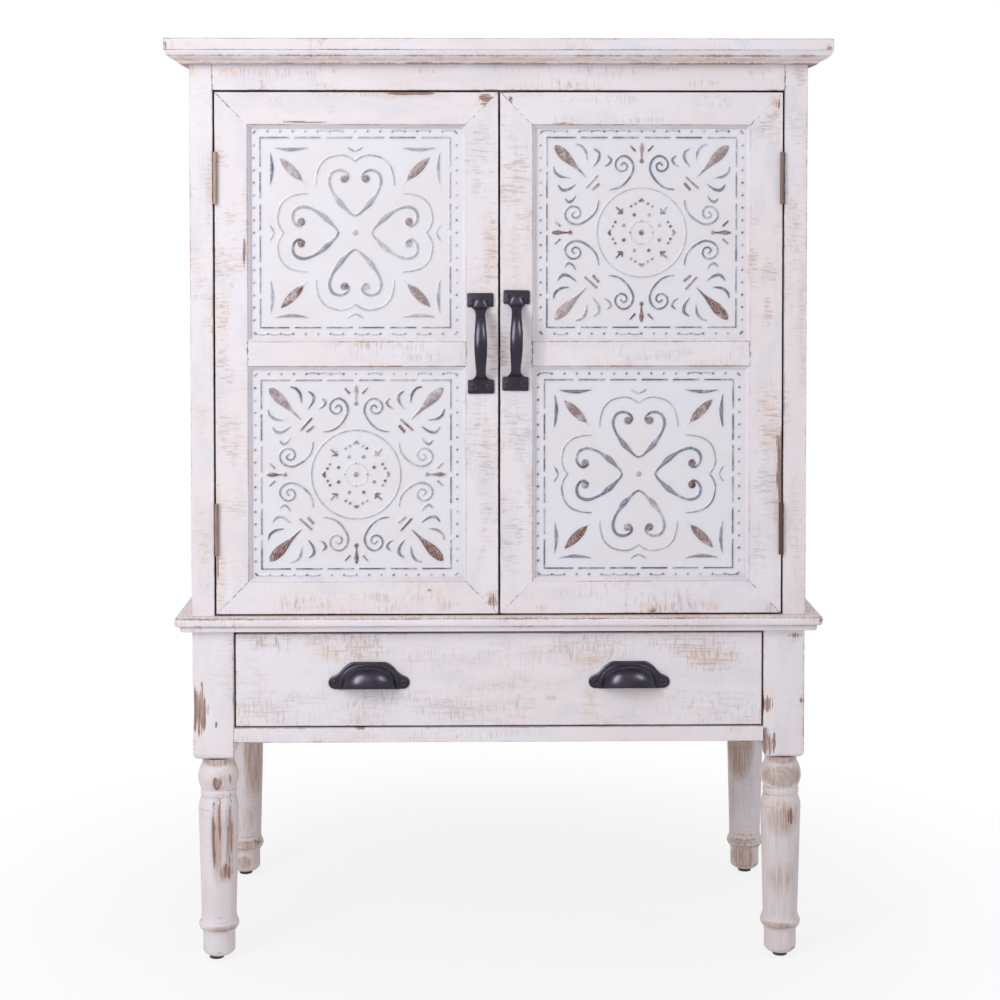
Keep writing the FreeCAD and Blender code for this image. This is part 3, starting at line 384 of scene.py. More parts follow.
def whitewash(name, grain, edges, age=0.6, saw=0.6, worn=(), weave=0.25):
    """The painted wood of one piece. Edges gives the group's other inputs from the place."""
    material, place = new_material(name + "_whitewash")
    inputs = {"Place": grained(place, grain), "Age": age, "Saw": saw, "Weave": weave,
              "Seed": seeds.uniform(0, 9)}
    inputs.update(worn_places(place, worn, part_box(name)[0].y))
    inputs.update(edges(place, inputs))
    paint = add_node(place.id_data, "Group", inputs, node_tree=WHITEWASH)
    return surfaced(material, paint["Color"], paint["Roughness"], (paint["Height"], 0.5, 0.0006),
                    {"Specular IOR Level": 0.25})


def merged_copy(node):
    """The CAD node's mesh with its doubles merged and its flat faces whole."""
    mesh = bmesh.new()
    mesh.from_mesh(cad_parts[node].data)
    bmesh.ops.remove_doubles(mesh, verts=mesh.verts, dist=TOUCH)
    bmesh.ops.dissolve_limit(mesh, angle_limit=FLAT_ANGLE, use_dissolve_boundaries=False,
                             verts=mesh.verts, edges=mesh.edges)
    return mesh


def slanting(edge):
    along = (edge.verts[1].co - edge.verts[0].co).normalized()
    return max(abs(part) for part in along) < SQUARE_SHARE


def bevelled(mesh, edges, offset, segments, profile=0.5, clamp=False):
    bmesh.ops.bevel(mesh, geom=edges, offset=offset, segments=segments, profile=profile,
                    affect="EDGES", clamp_overlap=clamp, material=-1)


def finish_piece(name, mesh, material, body, nodes, smooth_angle=40):
    """Make a piece of a bmesh, smooth it up to an angle, hang it on its body, and hide the nodes it
    stands for.
    """
    piece = add_object(name, mesh)
    piece.data.shade_smooth()
    piece.data.set_sharp_from_angle(angle=math.radians(smooth_angle))
    piece.data.materials.append(material)
    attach(piece, body)
    if nodes:
        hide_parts(*nodes)
    return piece


def softened(node, body, material, arris=0.0009, least_length=0.012, mitred=False):
    """A node's own shape with its long sharp arrises rounded, but not those of a tight mitre."""
    mesh = merged_copy(node)
    sharp = [edge for edge in mesh.edges
             if edge.calc_length() > least_length and edge.is_manifold
             and edge.calc_face_angle(0) > SHARP_ANGLE and not (mitred and slanting(edge))]
    bevelled(mesh, sharp, arris, 2, clamp=True)
    piece = finish_piece(node + "_planed", mesh, material, body, [node], 50)
    piece.modifiers.new("flat_faces", "WEIGHTED_NORMAL").keep_sharp = True


def board(node, body, grain, age=0.6, saw=0.6, worn=(), arris=0.0009, more=None, weave=0.25):
    """A plain board: rounded arrises, and whitewash that wears at them. More adds to the inputs."""
    def edges(place, inputs):
        found = board_edges(place, node)
        return {**found, **more(place, found["Edge"])} if more else found
    softened(node, body, whitewash(node, grain, edges, age, saw, worn, weave), arris)


TOP_WORN = {
    "Tan": ((-394, 1116, 5.9, 8.3, 1), (389, 1112, 9.6, 4.2, 1), (-372, 1116, 16, 4.7, 0.4)),
    "Bare": ((-397, 1115, 1.5, 5.3, 0.8), (394, 1113, 4.2, 5.4, 0.9)),
    "Hatch": ((-211, 1118, 26.7, 6.5, 0.4), (275, 1118, 35.9, 4.7, 0.4)),
}


def thin_line(gap, reach=0.0011, full=0.0003):
    """1 on a line that stain or rubbing drew, and 0 past its reach to each side."""
    return rising(gap, reach, full)


def top_lines(place, edge):
    """The grey lines that rubbing left along the upper and lower arris."""
    low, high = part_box("top_board")
    height = parts(place)["Z"]
    gap = least(minus(height, low.z), minus(high.z, height))
    return {"Line": times(thin_line(gap), rising(edge, *LINE_FADE), 0.62)}


board("top_board", "cabinet", GRAIN_ACROSS, age=0.75, saw=0.5, worn=TOP_WORN, more=top_lines)

# Moulding
# Three strips with an ovolo over a step and a cove, mitred at the front corners and glued
# under the top board. Rubbing has left brown along the step and the lower edge.
GRAIN_UP = (0, 0, 0)
MOULDING_LINE_DROP = 0.0064
MOULDING_FOOT_DROP = 0.0146
MOULDING_PEACH_DROPS = (0.0055, 0.0085)


def unsigned(value):
    return maths("ABSOLUTE", value)


def apart(first, second):
    return unsigned(minus(first, second))


def moulding_edges(place, inputs):
    """Level bands: brown lines by height, and peach where the hollow part was rubbed."""
    height = parts(place)["Z"]
    drop = minus(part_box("top_moulding")[1].z, height)
    line, foot = apart(drop, MOULDING_LINE_DROP), apart(drop, MOULDING_FOOT_DROP)
    return {"Edge": least(plus(line, 0.0002), foot), "Tan": rising(drop, *MOULDING_PEACH_DROPS),
            "Line": times(thin_line(least(line, foot), 0.0009), 0.55)}


moulding_paint = whitewash("top_moulding", GRAIN_UP, moulding_edges, 0.8, 0.5, weave=0.0)
softened("top_moulding", "cabinet", moulding_paint, arris=0.0004, mitred=True)

# Face frame
# Two upright stiles and a rail between their heads, 20 mm thick, on the front of the case.
# The hinges are let into the stiles, and a broken dark line marks each joint with the rail.
RAIL_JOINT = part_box("top_face_rail")
# Depths behind the front at which a gap's painted shade begins, is whole and fades out again
GAP_START = 0.0026
GAP_DEEP = 0.0066
GAP_END = (0.0165, 0.0115)
# How far past the rail's ends the painted shade beside the doors ends, and is still whole
GAP_SIDE = (0.004, 0.002)


def in_gap(depth):
    """1 from just behind the front's arris to the depth where the painted shade in a gap ends."""
    return times(rising(depth, GAP_START, GAP_DEEP), rising(depth, *GAP_END))


def behind(place, node):
    """How far a place lies behind the front of a node, with the place's own numbers."""
    x, y, z = parts(place)
    return minus(y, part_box(node)[0].y), unsigned(x), z


def face_frame_edges(node):
    def edges(place, inputs):
        found = board_edges(place, node)
        depth, x, z = behind(place, node)
        below = most(minus(RAIL_JOINT[0].z, z), 0.0)
        inside = rising(x, *(RAIL_JOINT[1].x + past for past in GAP_SIDE))
        # Dark paints shade on the stiles' inner sides, in the gaps beside the doors
        return {**found, "Joint": plus(below, depth, apart(x, RAIL_JOINT[1].x)),
                "Dark": times(in_gap(depth), inside)}
    return edges


FACE_WORN = {
    "left_face_stile": {
        "Tan": ((-369, 1088, 4.2, 8.4, 1), (-350, 952, 4.7, 67.4, 0.8), (-357, 1002, 12.4, 45.1, 0.45),
                (-359, 667, 12.6, 24.3, 0.45), (-360, 515, 12.4, 54.8, 0.5)),
        "Hatch": ((-359, 1056, 13.1, 27, 0.5), (-360, 824, 13, 48.3, 0.4)),
    },
    "top_face_rail": {
        "Tan": ((-328, 1088, 16.2, 6, 0.9), (314, 1088, 17, 7.2, 0.9), (-207, 1072, 21, 5.4, 0.5),
                (82, 1069, 27.2, 3.6, 0.5)),
        "Hatch": ((-279, 1088, 39, 6, 0.6), (-210, 1088, 30, 6, 0.5), (-284, 1072, 6, 4.8, 0.9),
                  (-92, 1089, 15, 4.8, 0.7), (143, 1088, 39.3, 6, 0.9), (206, 1090, 24.2, 4.2, 0.7),
                  (314, 1088, 17, 7.2, 0.8), (81, 1073, 26, 6, 0.7), (245, 1072, 24.2, 5.4, 0.8)),
    },
    "right_face_stile": {
        "Tan": ((361, 1087, 12.2, 9.6, 0.8), (359, 908, 15.4, 48.4, 0.5), (367, 763, 7.7, 97.2, 0.6),
                (361, 525, 15.6, 79.5, 0.6)),
        "Hatch": ((366, 1076, 7.3, 6, 1), (359, 902, 15.7, 127.1, 0.45)),
    },
}
for node, worn in FACE_WORN.items():
    grain = GRAIN_ACROSS if node == "top_face_rail" else GRAIN_UP
    paint = whitewash(node, grain, face_frame_edges(node), worn=worn)
    softened(node, "cabinet", paint, arris=0.0005)

# Case
# Two side panels behind the stiles, a thin back let in between them, and a floor board.
# The outside is whitewashed as the front is; the boards inside have one plain coat.
for node in ("left_side_panel", "right_side_panel"):
    board(node, "cabinet", GRAIN_UP)

INNER_COAT = (0.74, 0.70, 0.66, 1)
INNER_SHADE = (0.66, 0.61, 0.56, 1)


def inner_coat(name, grain):
    """One coat of flat paint on plain board, with the brush's streaks in it."""
    material, place = new_material(name)
    place = grained(place, grain)
    streaks = marks(place, (260, 260, 9), 4.0)
    clouds = marks(place, (8, 8, 3))
    amount = scaled(rising(streaks, 0.35, 0.7), 0.4, times(rising(clouds, 0.35, 0.7), 0.4))
    return surfaced(material, blended(amount, INNER_COAT, INNER_SHADE), 0.7, (streaks, 0.3, 0.0004))


def dress(material, *nodes):
    """Give CAD nodes that are shown as they are their finish."""
    for node in nodes:
        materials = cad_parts[node].data.materials
        materials.clear()
        materials.append(material)


dress(inner_coat("back_coat", GRAIN_UP), "back_panel")
for node in ("case_floor", "shelf"):
    dress(inner_coat(node + "_coat", GRAIN_ACROSS), node)

# Shelf pins, strike plates and magnetic catch
# Zinc-plated steel pins carry the shelf, and a moulded catch under the face rail holds both
# doors by their small steel plates.
ZINC = (0.58, 0.58, 0.60, 1)
ZINC_DULL = (0.42, 0.42, 0.45, 1)
CATCH_PLASTIC = (0.62, 0.60, 0.56, 1)


def metal(name, color, dull, roughness, metallic, per_metre, specular=0.5, tint=WHITE):
    """A plated or coated metal or a plain plastic, mottled between two colours."""
    material, place = new_material(name)
    mottle = marks(place, (per_metre,) * 3, 4.0)
    return surfaced(material, blended(rising(mottle, 0.35, 0.65), color, dull),
                    scaled(mottle, 0.16, roughness - 0.08), (mottle, 0.2, 0.0002),
                    {"Metallic": metallic, "Specular IOR Level": specular, "Specular Tint": tint})


dress(metal("zinc", ZINC, ZINC_DULL, 0.35, 0.95, 300), "shelf_pins", "left_strike_plate",
      "right_strike_plate")
dress(metal("catch_plastic", CATCH_PLASTIC, INNER_SHADE, 0.5, 0.0, 90), "magnet_catch")

# Stand board
# A 22 mm board with a rounded nose over a narrower step, on the four legs. Its front corners
# and the rounded upper arris are rubbed through to the stain.
STAND_LOW, STAND_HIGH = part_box("stand_top")
STAND_NOSE_FOOT_DROP = 0.011
STAND_STEP = 0.006
STAND_CORNER = 0.0075
# How round the nose's upper and lower arris and the step's lower one are
STAND_ROUNDS = (0.0042, 0.0038, 0.0020)
# The step runs up into the nose by this much
STAND_OVERLAP = 0.0005
STAND_ARRIS_DROP = 0.0012
# How far under the upper face the ledge's peach begins, and is whole
STAND_LEDGE_DROPS = (0.0030, 0.0004)
STAND_WORN = {
    "Tan": ((-335, 429, 19.2, 4.9, 1), (386, 427, 11, 12, 0.8), (-388, 423, 5.4, 10.9, 0.8)),
    "Bare": ((391, 424, 2.4, 2.2, 0.4),),
    "Hatch": ((-320, 418, 2.4, 6.1, 1),),
}


def stand_edges(place, inputs):
    """The nose's own lines, peach on the ledge before the doors, and painted shade in the gaps."""
    found = board_edges(place, "stand_top")
    x, y, z = parts(place)
    for drop in (STAND_ARRIS_DROP, STAND_NOSE_FOOT_DROP):
        found["Edge"] = least(found["Edge"], apart(z, STAND_HIGH.z - drop))
    found["Line"] = times(thin_line(apart(z, STAND_HIGH.z - STAND_ARRIS_DROP), 0.0009, 0.0002), 0.5)
    ledge = rising(z, *(STAND_HIGH.z - drop for drop in STAND_LEDGE_DROPS))
    found["Tan"] = most(inputs["Tan"], ledge)
    # Painted shade on the upper face behind the doors and on the lower face over the drawer
    for piece, level in (("right_door_hinge_stile", STAND_HIGH.z), ("drawer_front", STAND_LOW.z)):
        face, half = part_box(piece)[0].y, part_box(piece)[1].x
        there = times(rising(apart(z, level), 0.0012, 0.0006), rising(unsigned(x), half + 0.002, half))
        found["Dark"] = most(found.get("Dark", 0.0), times(in_gap(minus(y, face)), there))
    return found


def add_block(mesh, low, high):
    """A box in the mesh from its low corner to its high one."""
    verts = bmesh.ops.create_cube(mesh, size=1.0)["verts"]
    bmesh.ops.scale(mesh, vec=high - low, verts=verts)
    bmesh.ops.translate(mesh, vec=(low + high) / 2, verts=verts)
    return verts


def board_block(mesh, low, high, corner, top_round, foot_round):
    """A board with rounded front corners and, along its front and ends, rounded arrises."""
    verts = add_block(mesh, low, high)
    upright = [edge for edge in mesh.edges if edge.verts[0] in verts
               and all(vert.co.y < low.y + TOUCH for vert in edge.verts)
               and abs(edge.verts[0].co.z - edge.verts[1].co.z) > TOUCH]
    bevelled(mesh, upright, corner, 8)
    for level, offset in ((high.z, top_round), (low.z, foot_round)):
        if offset:
            rim = [edge for edge in mesh.edges
                   if all(abs(vert.co.z - level) < TOUCH for vert in edge.verts)
                   and len(edge.link_faces) == 2 and edge.calc_face_angle(0) > math.radians(60)
                   and min(vert.co.y for vert in edge.verts) < high.y - TOUCH]
            bevelled(mesh, rim, offset, 5)


stand_mesh = bmesh.new()
nose_foot = STAND_HIGH.z - STAND_NOSE_FOOT_DROP
board_block(stand_mesh, Vector((*STAND_LOW.xy, nose_foot)), STAND_HIGH, STAND_CORNER,
            *STAND_ROUNDS[:2])
board_block(stand_mesh, STAND_LOW + Vector((STAND_STEP, STAND_STEP, 0)),
            Vector((STAND_HIGH.x - STAND_STEP, STAND_HIGH.y, nose_foot + STAND_OVERLAP)),
            STAND_CORNER, 0.0, STAND_ROUNDS[2])
stand_paint = whitewash("stand_top", GRAIN_ACROSS, stand_edges, 0.6, 0.5, STAND_WORN)
finish_piece("stand_top_planed", stand_mesh, stand_paint, "cabinet", ["stand_top"], 40)

# Legs
# Each is turned from one square: a block at the top for the joints, then a neck, bulb, groove,
# tapered column, bead, ankle and rounded toe. Knots and gouges show the stain.
LEG_BLOCK_FOOT = 0.2512
APRON_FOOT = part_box("front_rail")[0].z
DRAWER_GAP_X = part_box("drawer_front")[1].x
# The drawer's gaps get less painted shade than the doors'
DRAWER_GAP_SHADE = 0.45
# How far past the drawer front's ends the painted shade on the legs ends, and is still whole
DRAWER_GAP_SIDE = (0.0042, 0.0028)
LEG_WIDTH = 0.050
LEG_ROUND = 0.0022
LEG_HEEL = 0.0082
# Radius and height of each turned form from the toe up, with how far it swells to the next
LEG_PROFILE = (
    (0.0150, 0.0060, 0.0012), (0.0196, 0.0120, 0.0), (0.0196, 0.0310, -0.0008),
    (0.0224, 0.0380, 0.0022), (0.0224, 0.0490, 0.0), (0.0212, 0.0555, 0.0),
    (0.0246, 0.1880, 0.0005), (0.0210, 0.2020, 0.0012), (0.0210, 0.2110, 0.0046),
    (0.0196, 0.2430, 0.0), (0.0196, 0.2500, 0.0),
)
LEG_SIDES = 56
# Where the outline runs straight it has a ring about this often
LEG_STEP = 0.012
# The block is cut into this many rings, so that the dents have points to move
LEG_BLOCK_CUTS = 14
LEG_BEAD_LINE = 0.0402
# How much of the brown wash colour lies over the whole turned part, more on some legs than others
LEG_WASH = {"front_left_leg": 0.10, "front_right_leg": 0.20, "rear_left_leg": 0.22,
            "rear_right_leg": 0.15}
# The front left leg's turned part sits this far to the right of its block
LEG_OFF_CENTRE = 0.003
LEG_ARRISES = (0.0120, 0.0380, 0.0490, 0.0555, 0.1880, 0.2020, 0.2110, 0.2430)


def profile_points(profile, steps=9):
    """The profile as points, with each swell an arc-like bulge to the right of the way up."""
    points = []
    for (radius, height, swell), (next_radius, next_height, _) in zip(profile, profile[1:]):
        count = steps if swell else max(2, round((next_height - height) / LEG_STEP))
        for step in range(count):
            share = step / count
            bulge = 4 * share * (1 - share) * swell
            points.append((radius + (next_radius - radius) * share + bulge,
                           height + (next_height - height) * share))
    points.append(profile[-1][:2])
    return points


def leg_edges(node):
    """Rings at the turned forms' arrises, the block's corners and foot, and its gap to the drawer."""
    low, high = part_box(node)
    axis = (low + high) / 2

    def edges(place, inputs):
        x, y, z = parts(place)
        ring = plus(least(*(apart(z, height) for height in LEG_ARRISES)), 0.0006)
        corner = minus(LEG_WIDTH / 2, least(apart(x, axis.x), apart(y, axis.y)))
        block = least(corner, most(minus(z, LEG_BLOCK_FOOT), 0.0))
        turned = rising(z, LEG_BLOCK_FOOT, LEG_BLOCK_FOOT - 0.0005)
        found = {"Edge": plus(times(ring, turned), times(block, minus(1.0, turned))),
                 "Line": times(thin_line(apart(z, LEG_BEAD_LINE), 0.0014), 0.6),
                 "Wash": most(inputs["Wash"], times(turned, LEG_WASH[node]))}
        # Painted shade on the front legs' blocks, in the gaps beside the drawer
        if node.startswith("front"):
            inside = rising(unsigned(x), *(DRAWER_GAP_X + past for past in DRAWER_GAP_SIDE))
            above = rising(z, APRON_FOOT - MM, APRON_FOOT + MM)
            found["Dark"] = times(in_gap(minus(y, low.y)), DRAWER_GAP_SHADE, inside, above)
        return found
    return edges


def spun(mesh, steps):
    """Turn a mesh's outline once round Z."""
    bmesh.ops.spin(mesh, geom=mesh.verts[:] + mesh.edges[:], cent=(0, 0, 0), axis=(0, 0, 1),
                   angle=math.tau, steps=steps, use_merge=True)
    bmesh.ops.remove_doubles(mesh, verts=mesh.verts, dist=TOUCH)


def leg_mesh(axis, top, dents, off_centre):
    """The turned part spun round the leg's axis, the block over it, and the dents pressed in."""
    mesh = bmesh.new()
    chain = [mesh.verts.new((radius, 0, height)) for radius, height in profile_points(LEG_PROFILE)]
    for pair in zip(chain, chain[1:]):
        mesh.edges.new(pair)
    spun(mesh, LEG_SIDES)
    bmesh.ops.holes_fill(mesh, edges=[edge for edge in mesh.edges if edge.is_boundary], sides=0)
    bmesh.ops.translate(mesh, vec=(off_centre, 0, 0), verts=mesh.verts)
    half = Vector((LEG_WIDTH / 2, LEG_WIDTH / 2, 0))
    block = add_block(mesh, Vector((0, 0, LEG_BLOCK_FOOT)) - half, Vector((0, 0, top)) + half)
    heel = [edge for edge in mesh.edges
            if all(vert in block and vert.co.z < LEG_BLOCK_FOOT + TOUCH for vert in edge.verts)]
    bevelled(mesh, heel, LEG_HEEL, 5)
    height = top - LEG_BLOCK_FOOT
    corners = [edge for edge in mesh.edges
               if edge.calc_length() > height * 0.8 and edge.verts[0].co.z > LEG_BLOCK_FOOT]
    bevelled(mesh, corners, LEG_ROUND, 3)
    for level in range(1, LEG_BLOCK_CUTS):
        cut = LEG_BLOCK_FOOT + LEG_HEEL + (height - LEG_HEEL) * level / LEG_BLOCK_CUTS
        bmesh.ops.bisect_plane(mesh, geom=mesh.verts[:] + mesh.edges[:] + mesh.faces[:],
                               plane_co=(0, 0, cut), plane_no=(0, 0, 1))
    for vert in mesh.verts:
        for dent, reach, depth in dents:
            share = Vector((vert.co - Vector(dent))[i] / reach[i] for i in range(3)).length
            if share < 1:
                inwards = Vector((vert.co.x, vert.co.y, 0)).normalized()
                vert.co -= inwards * depth * (1 - share * share)
    bmesh.ops.recalc_face_normals(mesh, faces=mesh.faces)
    bmesh.ops.translate(mesh, vec=(axis.x, axis.y, 0), verts=mesh.verts)
    return mesh


# The hollows worn in each leg, from its axis on the floor: centre, reach and how deep
LEG_DENTS = {
    "front_left_leg": (
        ((-0.025, -0.025, 0.315), (0.012, 0.012, 0.030), 0.0020),
        ((0.003, -0.0235, 0.165), (0.006, 0.012, 0.030), 0.0010),
        ((0.019, -0.016, 0.155), (0.005, 0.012, 0.042), 0.0010),
        ((0.014, -0.019, 0.111), (0.007, 0.010, 0.011), 0.0012),
    ),
    "front_right_leg": (
        ((-0.024, -0.025, 0.269), (0.012, 0.012, 0.016), 0.0018),
        ((-0.024, -0.025, 0.318), (0.006, 0.012, 0.010), 0.0016),
        ((-0.016, -0.018, 0.170), (0.007, 0.012, 0.020), 0.0008),
        ((0.006, -0.023, 0.187), (0.006, 0.009, 0.009), 0.0010),
    ),
    "rear_left_leg": (((0.004, -0.025, 0.330), (0.008, 0.012, 0.060), 0.0010),),
    "rear_right_leg": (((-0.004, -0.025, 0.330), (0.008, 0.012, 0.060), 0.0010),),
}
LEG_WORN = {
    "front_left_leg": {
        "Bare": ((-365, 315, 8.1, 24.5, 1.2), (-345, 294, 2.1, 3.1, 0.9), (-344, 222, 4.4, 6, 1.3),
                 (-329, 226, 2.6, 4.6, 1.1), (-348, 158, 1.7, 36, 1), (-341, 176, 1.3, 22, 0.9),
                 (-329, 154, 2.4, 42, 1.1), (-333, 112, 5.5, 7.5, 1.1)),
        "Tan": ((-365, 314, 10.8, 33.1, 1), (-372, 274, 4.2, 17.2, 0.9), (-326, 383, 2.3, 20.8, 0.8)),
        "Wash": ((-344, 150, 7, 46, 1.2), (-330, 150, 5, 46, 1.1), (-334, 112, 9, 12, 1.3),
                 (-338, 224, 22, 15, 0.4), (-346, 247, 26, 5, 1.4), (-338, 42, 20, 4, 1)),
        "Hatch": ((-337, 219, 15.2, 18.6, 0.4),),
    },
    "front_right_leg": {
        "Bare": ((328, 318, 4.9, 8.6, 0.9), (327, 270, 9.5, 14, 0.85), (370, 322, 2.5, 3.1, 0.9),
                 (362, 402, 7.2, 2.6, 0.6), (357, 178, 3.2, 7.5, 1.1)),
        "Tan": ((328, 319, 14.8, 18.5, 0.5), (362, 399, 12.3, 7.4, 0.6), (374, 322, 3.4, 73.9, 0.6),
                (333, 42, 8, 4, 0.8)),
        "Wash": ((345, 227, 31.4, 12, 1.6), (346, 176, 26, 24, 0.9), (346, 100, 25, 26, 0.6),
                 (346, 247, 26, 5, 1.4), (340, 42, 22, 4.5, 1.4)),
    },
    "rear_left_leg": {
        "Wash": ((-333, 170, 15, 62, 1.2), (-339, 83, 17, 26, 0.5), (-349, 20, 10, 8, 1.8),
                 (-340, 46, 20, 4.5, 1.4)),
        "Hatch": ((-333, 130, 12.3, 60, 0.5),),
        "Bare": ((-329, 50, 5, 3.6, 0.9),),
    },
    "rear_right_leg": {
        "Wash": ((335, 182, 19, 42, 1.8), (342, 24, 18, 15.5, 1.8), (340, 46, 20, 4.5, 1.2)),
        "Hatch": ((338, 170, 18.2, 40, 0.5),),
    },
}

for node, dents in LEG_DENTS.items():
    low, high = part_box(node)
    axis = (low + high) / 2
    off_centre = LEG_OFF_CENTRE if node == "front_left_leg" else 0.0
    paint = whitewash(node, GRAIN_UP, leg_edges(node), 0.75, 0.45, LEG_WORN[node])
    finish_piece(node + "_turned", leg_mesh(axis, high.z, dents, off_centre), paint, "cabinet",
                 [node], 38)

# Glides
# A moulded black plastic button under each leg, on a pin driven into the foot, keeps the wood
# off the floor.
GLIDE_BLACK = (0.018, 0.018, 0.020, 1)
GLIDE_WORN = (0.040, 0.040, 0.042, 1)
glide_black = metal("glide_black", GLIDE_BLACK, GLIDE_WORN, 0.5, 0.0, 200)
softened("leg_glides", "cabinet", glide_black, arris=0.0008, least_length=0.0004)

# Aprons, front rail and runners
# Boards tenoned between the legs under the stand board, and the plain pine ledges inside
# them that the drawer runs on.
GRAIN_BACK = (math.radians(90), 0, 0)
RAIL_WORN = {
    "Bare": ((-170, 290, 5.5, 1.9, 0.8),),
    "Tan": ((288, 286, 12.3, 4.4, 1), (-164, 281, 67, 8.9, 0.4)),
    "Hatch": ((-54, 279, 79.3, 7.7, 0.6),),
}


def on_side(inset):
    """1 on the face that a point is set in from, and 0 a millimetre under it."""
    return rising(inset, 0.0012, 0.0005)


def rail_gap(place, edge):
    """The rail's upper face gets painted shade where the drawer stands over it."""
    depth, _, z = behind(place, "front_rail")
    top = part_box("front_rail")[1].z
    return {"Dark": times(in_gap(depth), on_side(minus(top, z)), DRAWER_GAP_SHADE)}


for node, grain in (("left_apron", GRAIN_BACK), ("right_apron", GRAIN_BACK),
                    ("back_apron", GRAIN_ACROSS), ("front_rail", GRAIN_ACROSS)):
    front = node == "front_rail"
    board(node, "cabinet", grain, age=0.5, saw=0.6, worn=RAIL_WORN if front else (), arris=0.0007,
          more=rail_gap if front else None)

PINE_PALE = (0.62, 0.44, 0.27, 1)
PINE_DARK = (0.44, 0.27, 0.14, 1)


def pine(name, grain):
    """Bare softwood: darker late-wood lines along the grain, wavering a little."""
    material, place = new_material(name)
    place = grained(place, grain)
    figure = marks(place, (90, 90, 2.2), 5.0, 0.7)
    pores = marks(place, (900, 900, 30), 2.0)
    amount = scaled(rising(pores, 0.45, 0.7), 0.25, times(rising(figure, 0.35, 0.68), 0.75))
    return surfaced(material, blended(amount, PINE_PALE, PINE_DARK), 0.6, (figure, 0.2, 0.0004))


pine_deep = pine("pine_deep", GRAIN_BACK)
dress(pine_deep, "drawer_runners")

# Drawer
# A whitewashed front that fills the space between the legs, before a plain pine box whose
# bottom slides in grooves.
DRAWER_WORN = {
    "Tan": ((-206, 383, 21.8, 12.3, 0.8), (-168, 388, 28.5, 14.8, 0.7), (-286, 349, 31.5, 24.6, 0.4),
            (38, 363, 61, 39.5, 0.35), (114, 377, 23.2, 19.7, 0.7), (111, 317, 12.2, 23.4, 0.7),
            (257, 379, 34.3, 17.3, 1)),
    "Hatch": ((-169, 387, 30.4, 18.5, 0.9), (-274, 393, 31.5, 12.3, 0.8), (-221, 398, 21.2, 7.4, 0.7),
              (-282, 310, 39.4, 14.9, 0.7), (-167, 317, 27.3, 22.2, 0.6), (-57, 315, 57.9, 21.1, 0.5),
              (123, 387, 48.8, 14.9, 0.7), (25, 317, 24.4, 18.5, 0.6), (63, 326, 6.7, 4.9, 1.2),
              (256, 380, 38, 18.6, 1), (202, 394, 30.6, 9.9, 0.6), (267, 315, 52.1, 19.9, 0.5)),
}


def drawer_gap(place, edge):
    """The front's own edges get painted shade where they face the legs, the rail and the stand board.
    """
    depth, x, z = behind(place, "drawer_front")
    low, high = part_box("drawer_front")
    inset = least(minus(high.x, x), minus(high.z, z), minus(z, low.z))
    return {"Dark": times(in_gap(depth), on_side(inset), DRAWER_GAP_SHADE)}


board("drawer_front", "drawer", GRAIN_ACROSS, age=0.5, saw=1.1, worn=DRAWER_WORN, arris=0.0008,
      more=drawer_gap, weave=0.8)
dress(pine_deep, "drawer_left_side", "drawer_right_side")
dress(pine("pine_wide", GRAIN_ACROSS), "drawer_back", "drawer_bottom")

# Cup pulls
# Cast black cups on the drawer: a hollow dome with square shoulders on a flange, screwed
# through a round ear at each end, and open underneath for the fingers.
BLACK_IRON = (0.0060, 0.0050, 0.0090, 1)
BLACK_RUBBED = (0.016, 0.013, 0.022, 1)
IRON_SHEEN = (0.84, 0.77, 1.0, 1)
# Paler rubbed metal for the screw rims, which is also partly a painted highlight
RUBBED_RIM_GLINT = (0.065, 0.060, 0.078, 1)
CUP_CENTRE_X = 0.1585
CUP_BASE_Z = 0.3379
CUP_HALF_WIDTH = 0.0335
CUP_HEIGHT = 0.0292
CUP_PROJECTION = 0.0240
CUP_WALL = 0.0020
CUP_SQUARENESS = 2.35
CUP_SEGMENTS = 72
CUP_RINGS = 48
# The mouth is cut on a slope, so that it rises this much for each millimetre forwards
CUP_MOUTH_SLOPE = 0.23
CUP_EAR_X = 0.0415
CUP_EAR_RADIUS = 0.0080
# The low welt round the dome's foot
CUP_WELT_HALF_WIDTH = 0.0374
CUP_WELT_HEIGHT = 0.0305
CUP_WELT_RISE = 0.0017
CUP_FLANGE = 0.0030
CUP_FLANGE_CHAMFER = 0.0016
# The flange's sloping shoulder, from the ear to the flat top
CUP_SHOULDER = ((0.0389, 0.0178), (0.0346, 0.0216), (0.0302, 0.0268), (0.0259, 0.0302),
                (0.0228, 0.0320), (0.0185, 0.0330))
CUP_FACE_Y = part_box("drawer_front")[0].y
EAR_STEPS = 12
# How far round an ear runs from its foot, in degrees
EAR_TURN = 150
CUP_SCREW_RADIUS = 0.0025
# How far in front of the flange the middle of a screw's head is
CUP_SCREW_OUT = 0.0005
SCREW_HEIGHT = 0.0010
SCREW_SIDES = 32
# The crown's share of the head's radius, and its rounding's share of the head's height
SCREW_CROWN = 0.8
SCREW_ROUND = 0.3
# The rim's own half thickness, and how far outside the head its middle runs
SCREW_RIM = 0.0005
SCREW_RIM_GAP = 0.0007
SCREW_RIM_SIDES = 28
FACING_FRONT = Matrix.Rotation(math.radians(90), 4, "X")

black_iron = metal("black_iron", BLACK_IRON, BLACK_RUBBED, 0.30, 0.0, 60, 0.45, IRON_SHEEN)
rubbed_iron_glint = metal("rubbed_iron_glint", RUBBED_RIM_GLINT, BLACK_RUBBED, 0.34, 0.25, 500)


def join(mesh, part, place):
    """Add a part to the mesh at its place, and free it."""
    data = bpy.data.meshes.new("part")
    part.to_mesh(data)
    part.free()
    data.transform(place)
    mesh.from_mesh(data)
    bpy.data.meshes.remove(data)


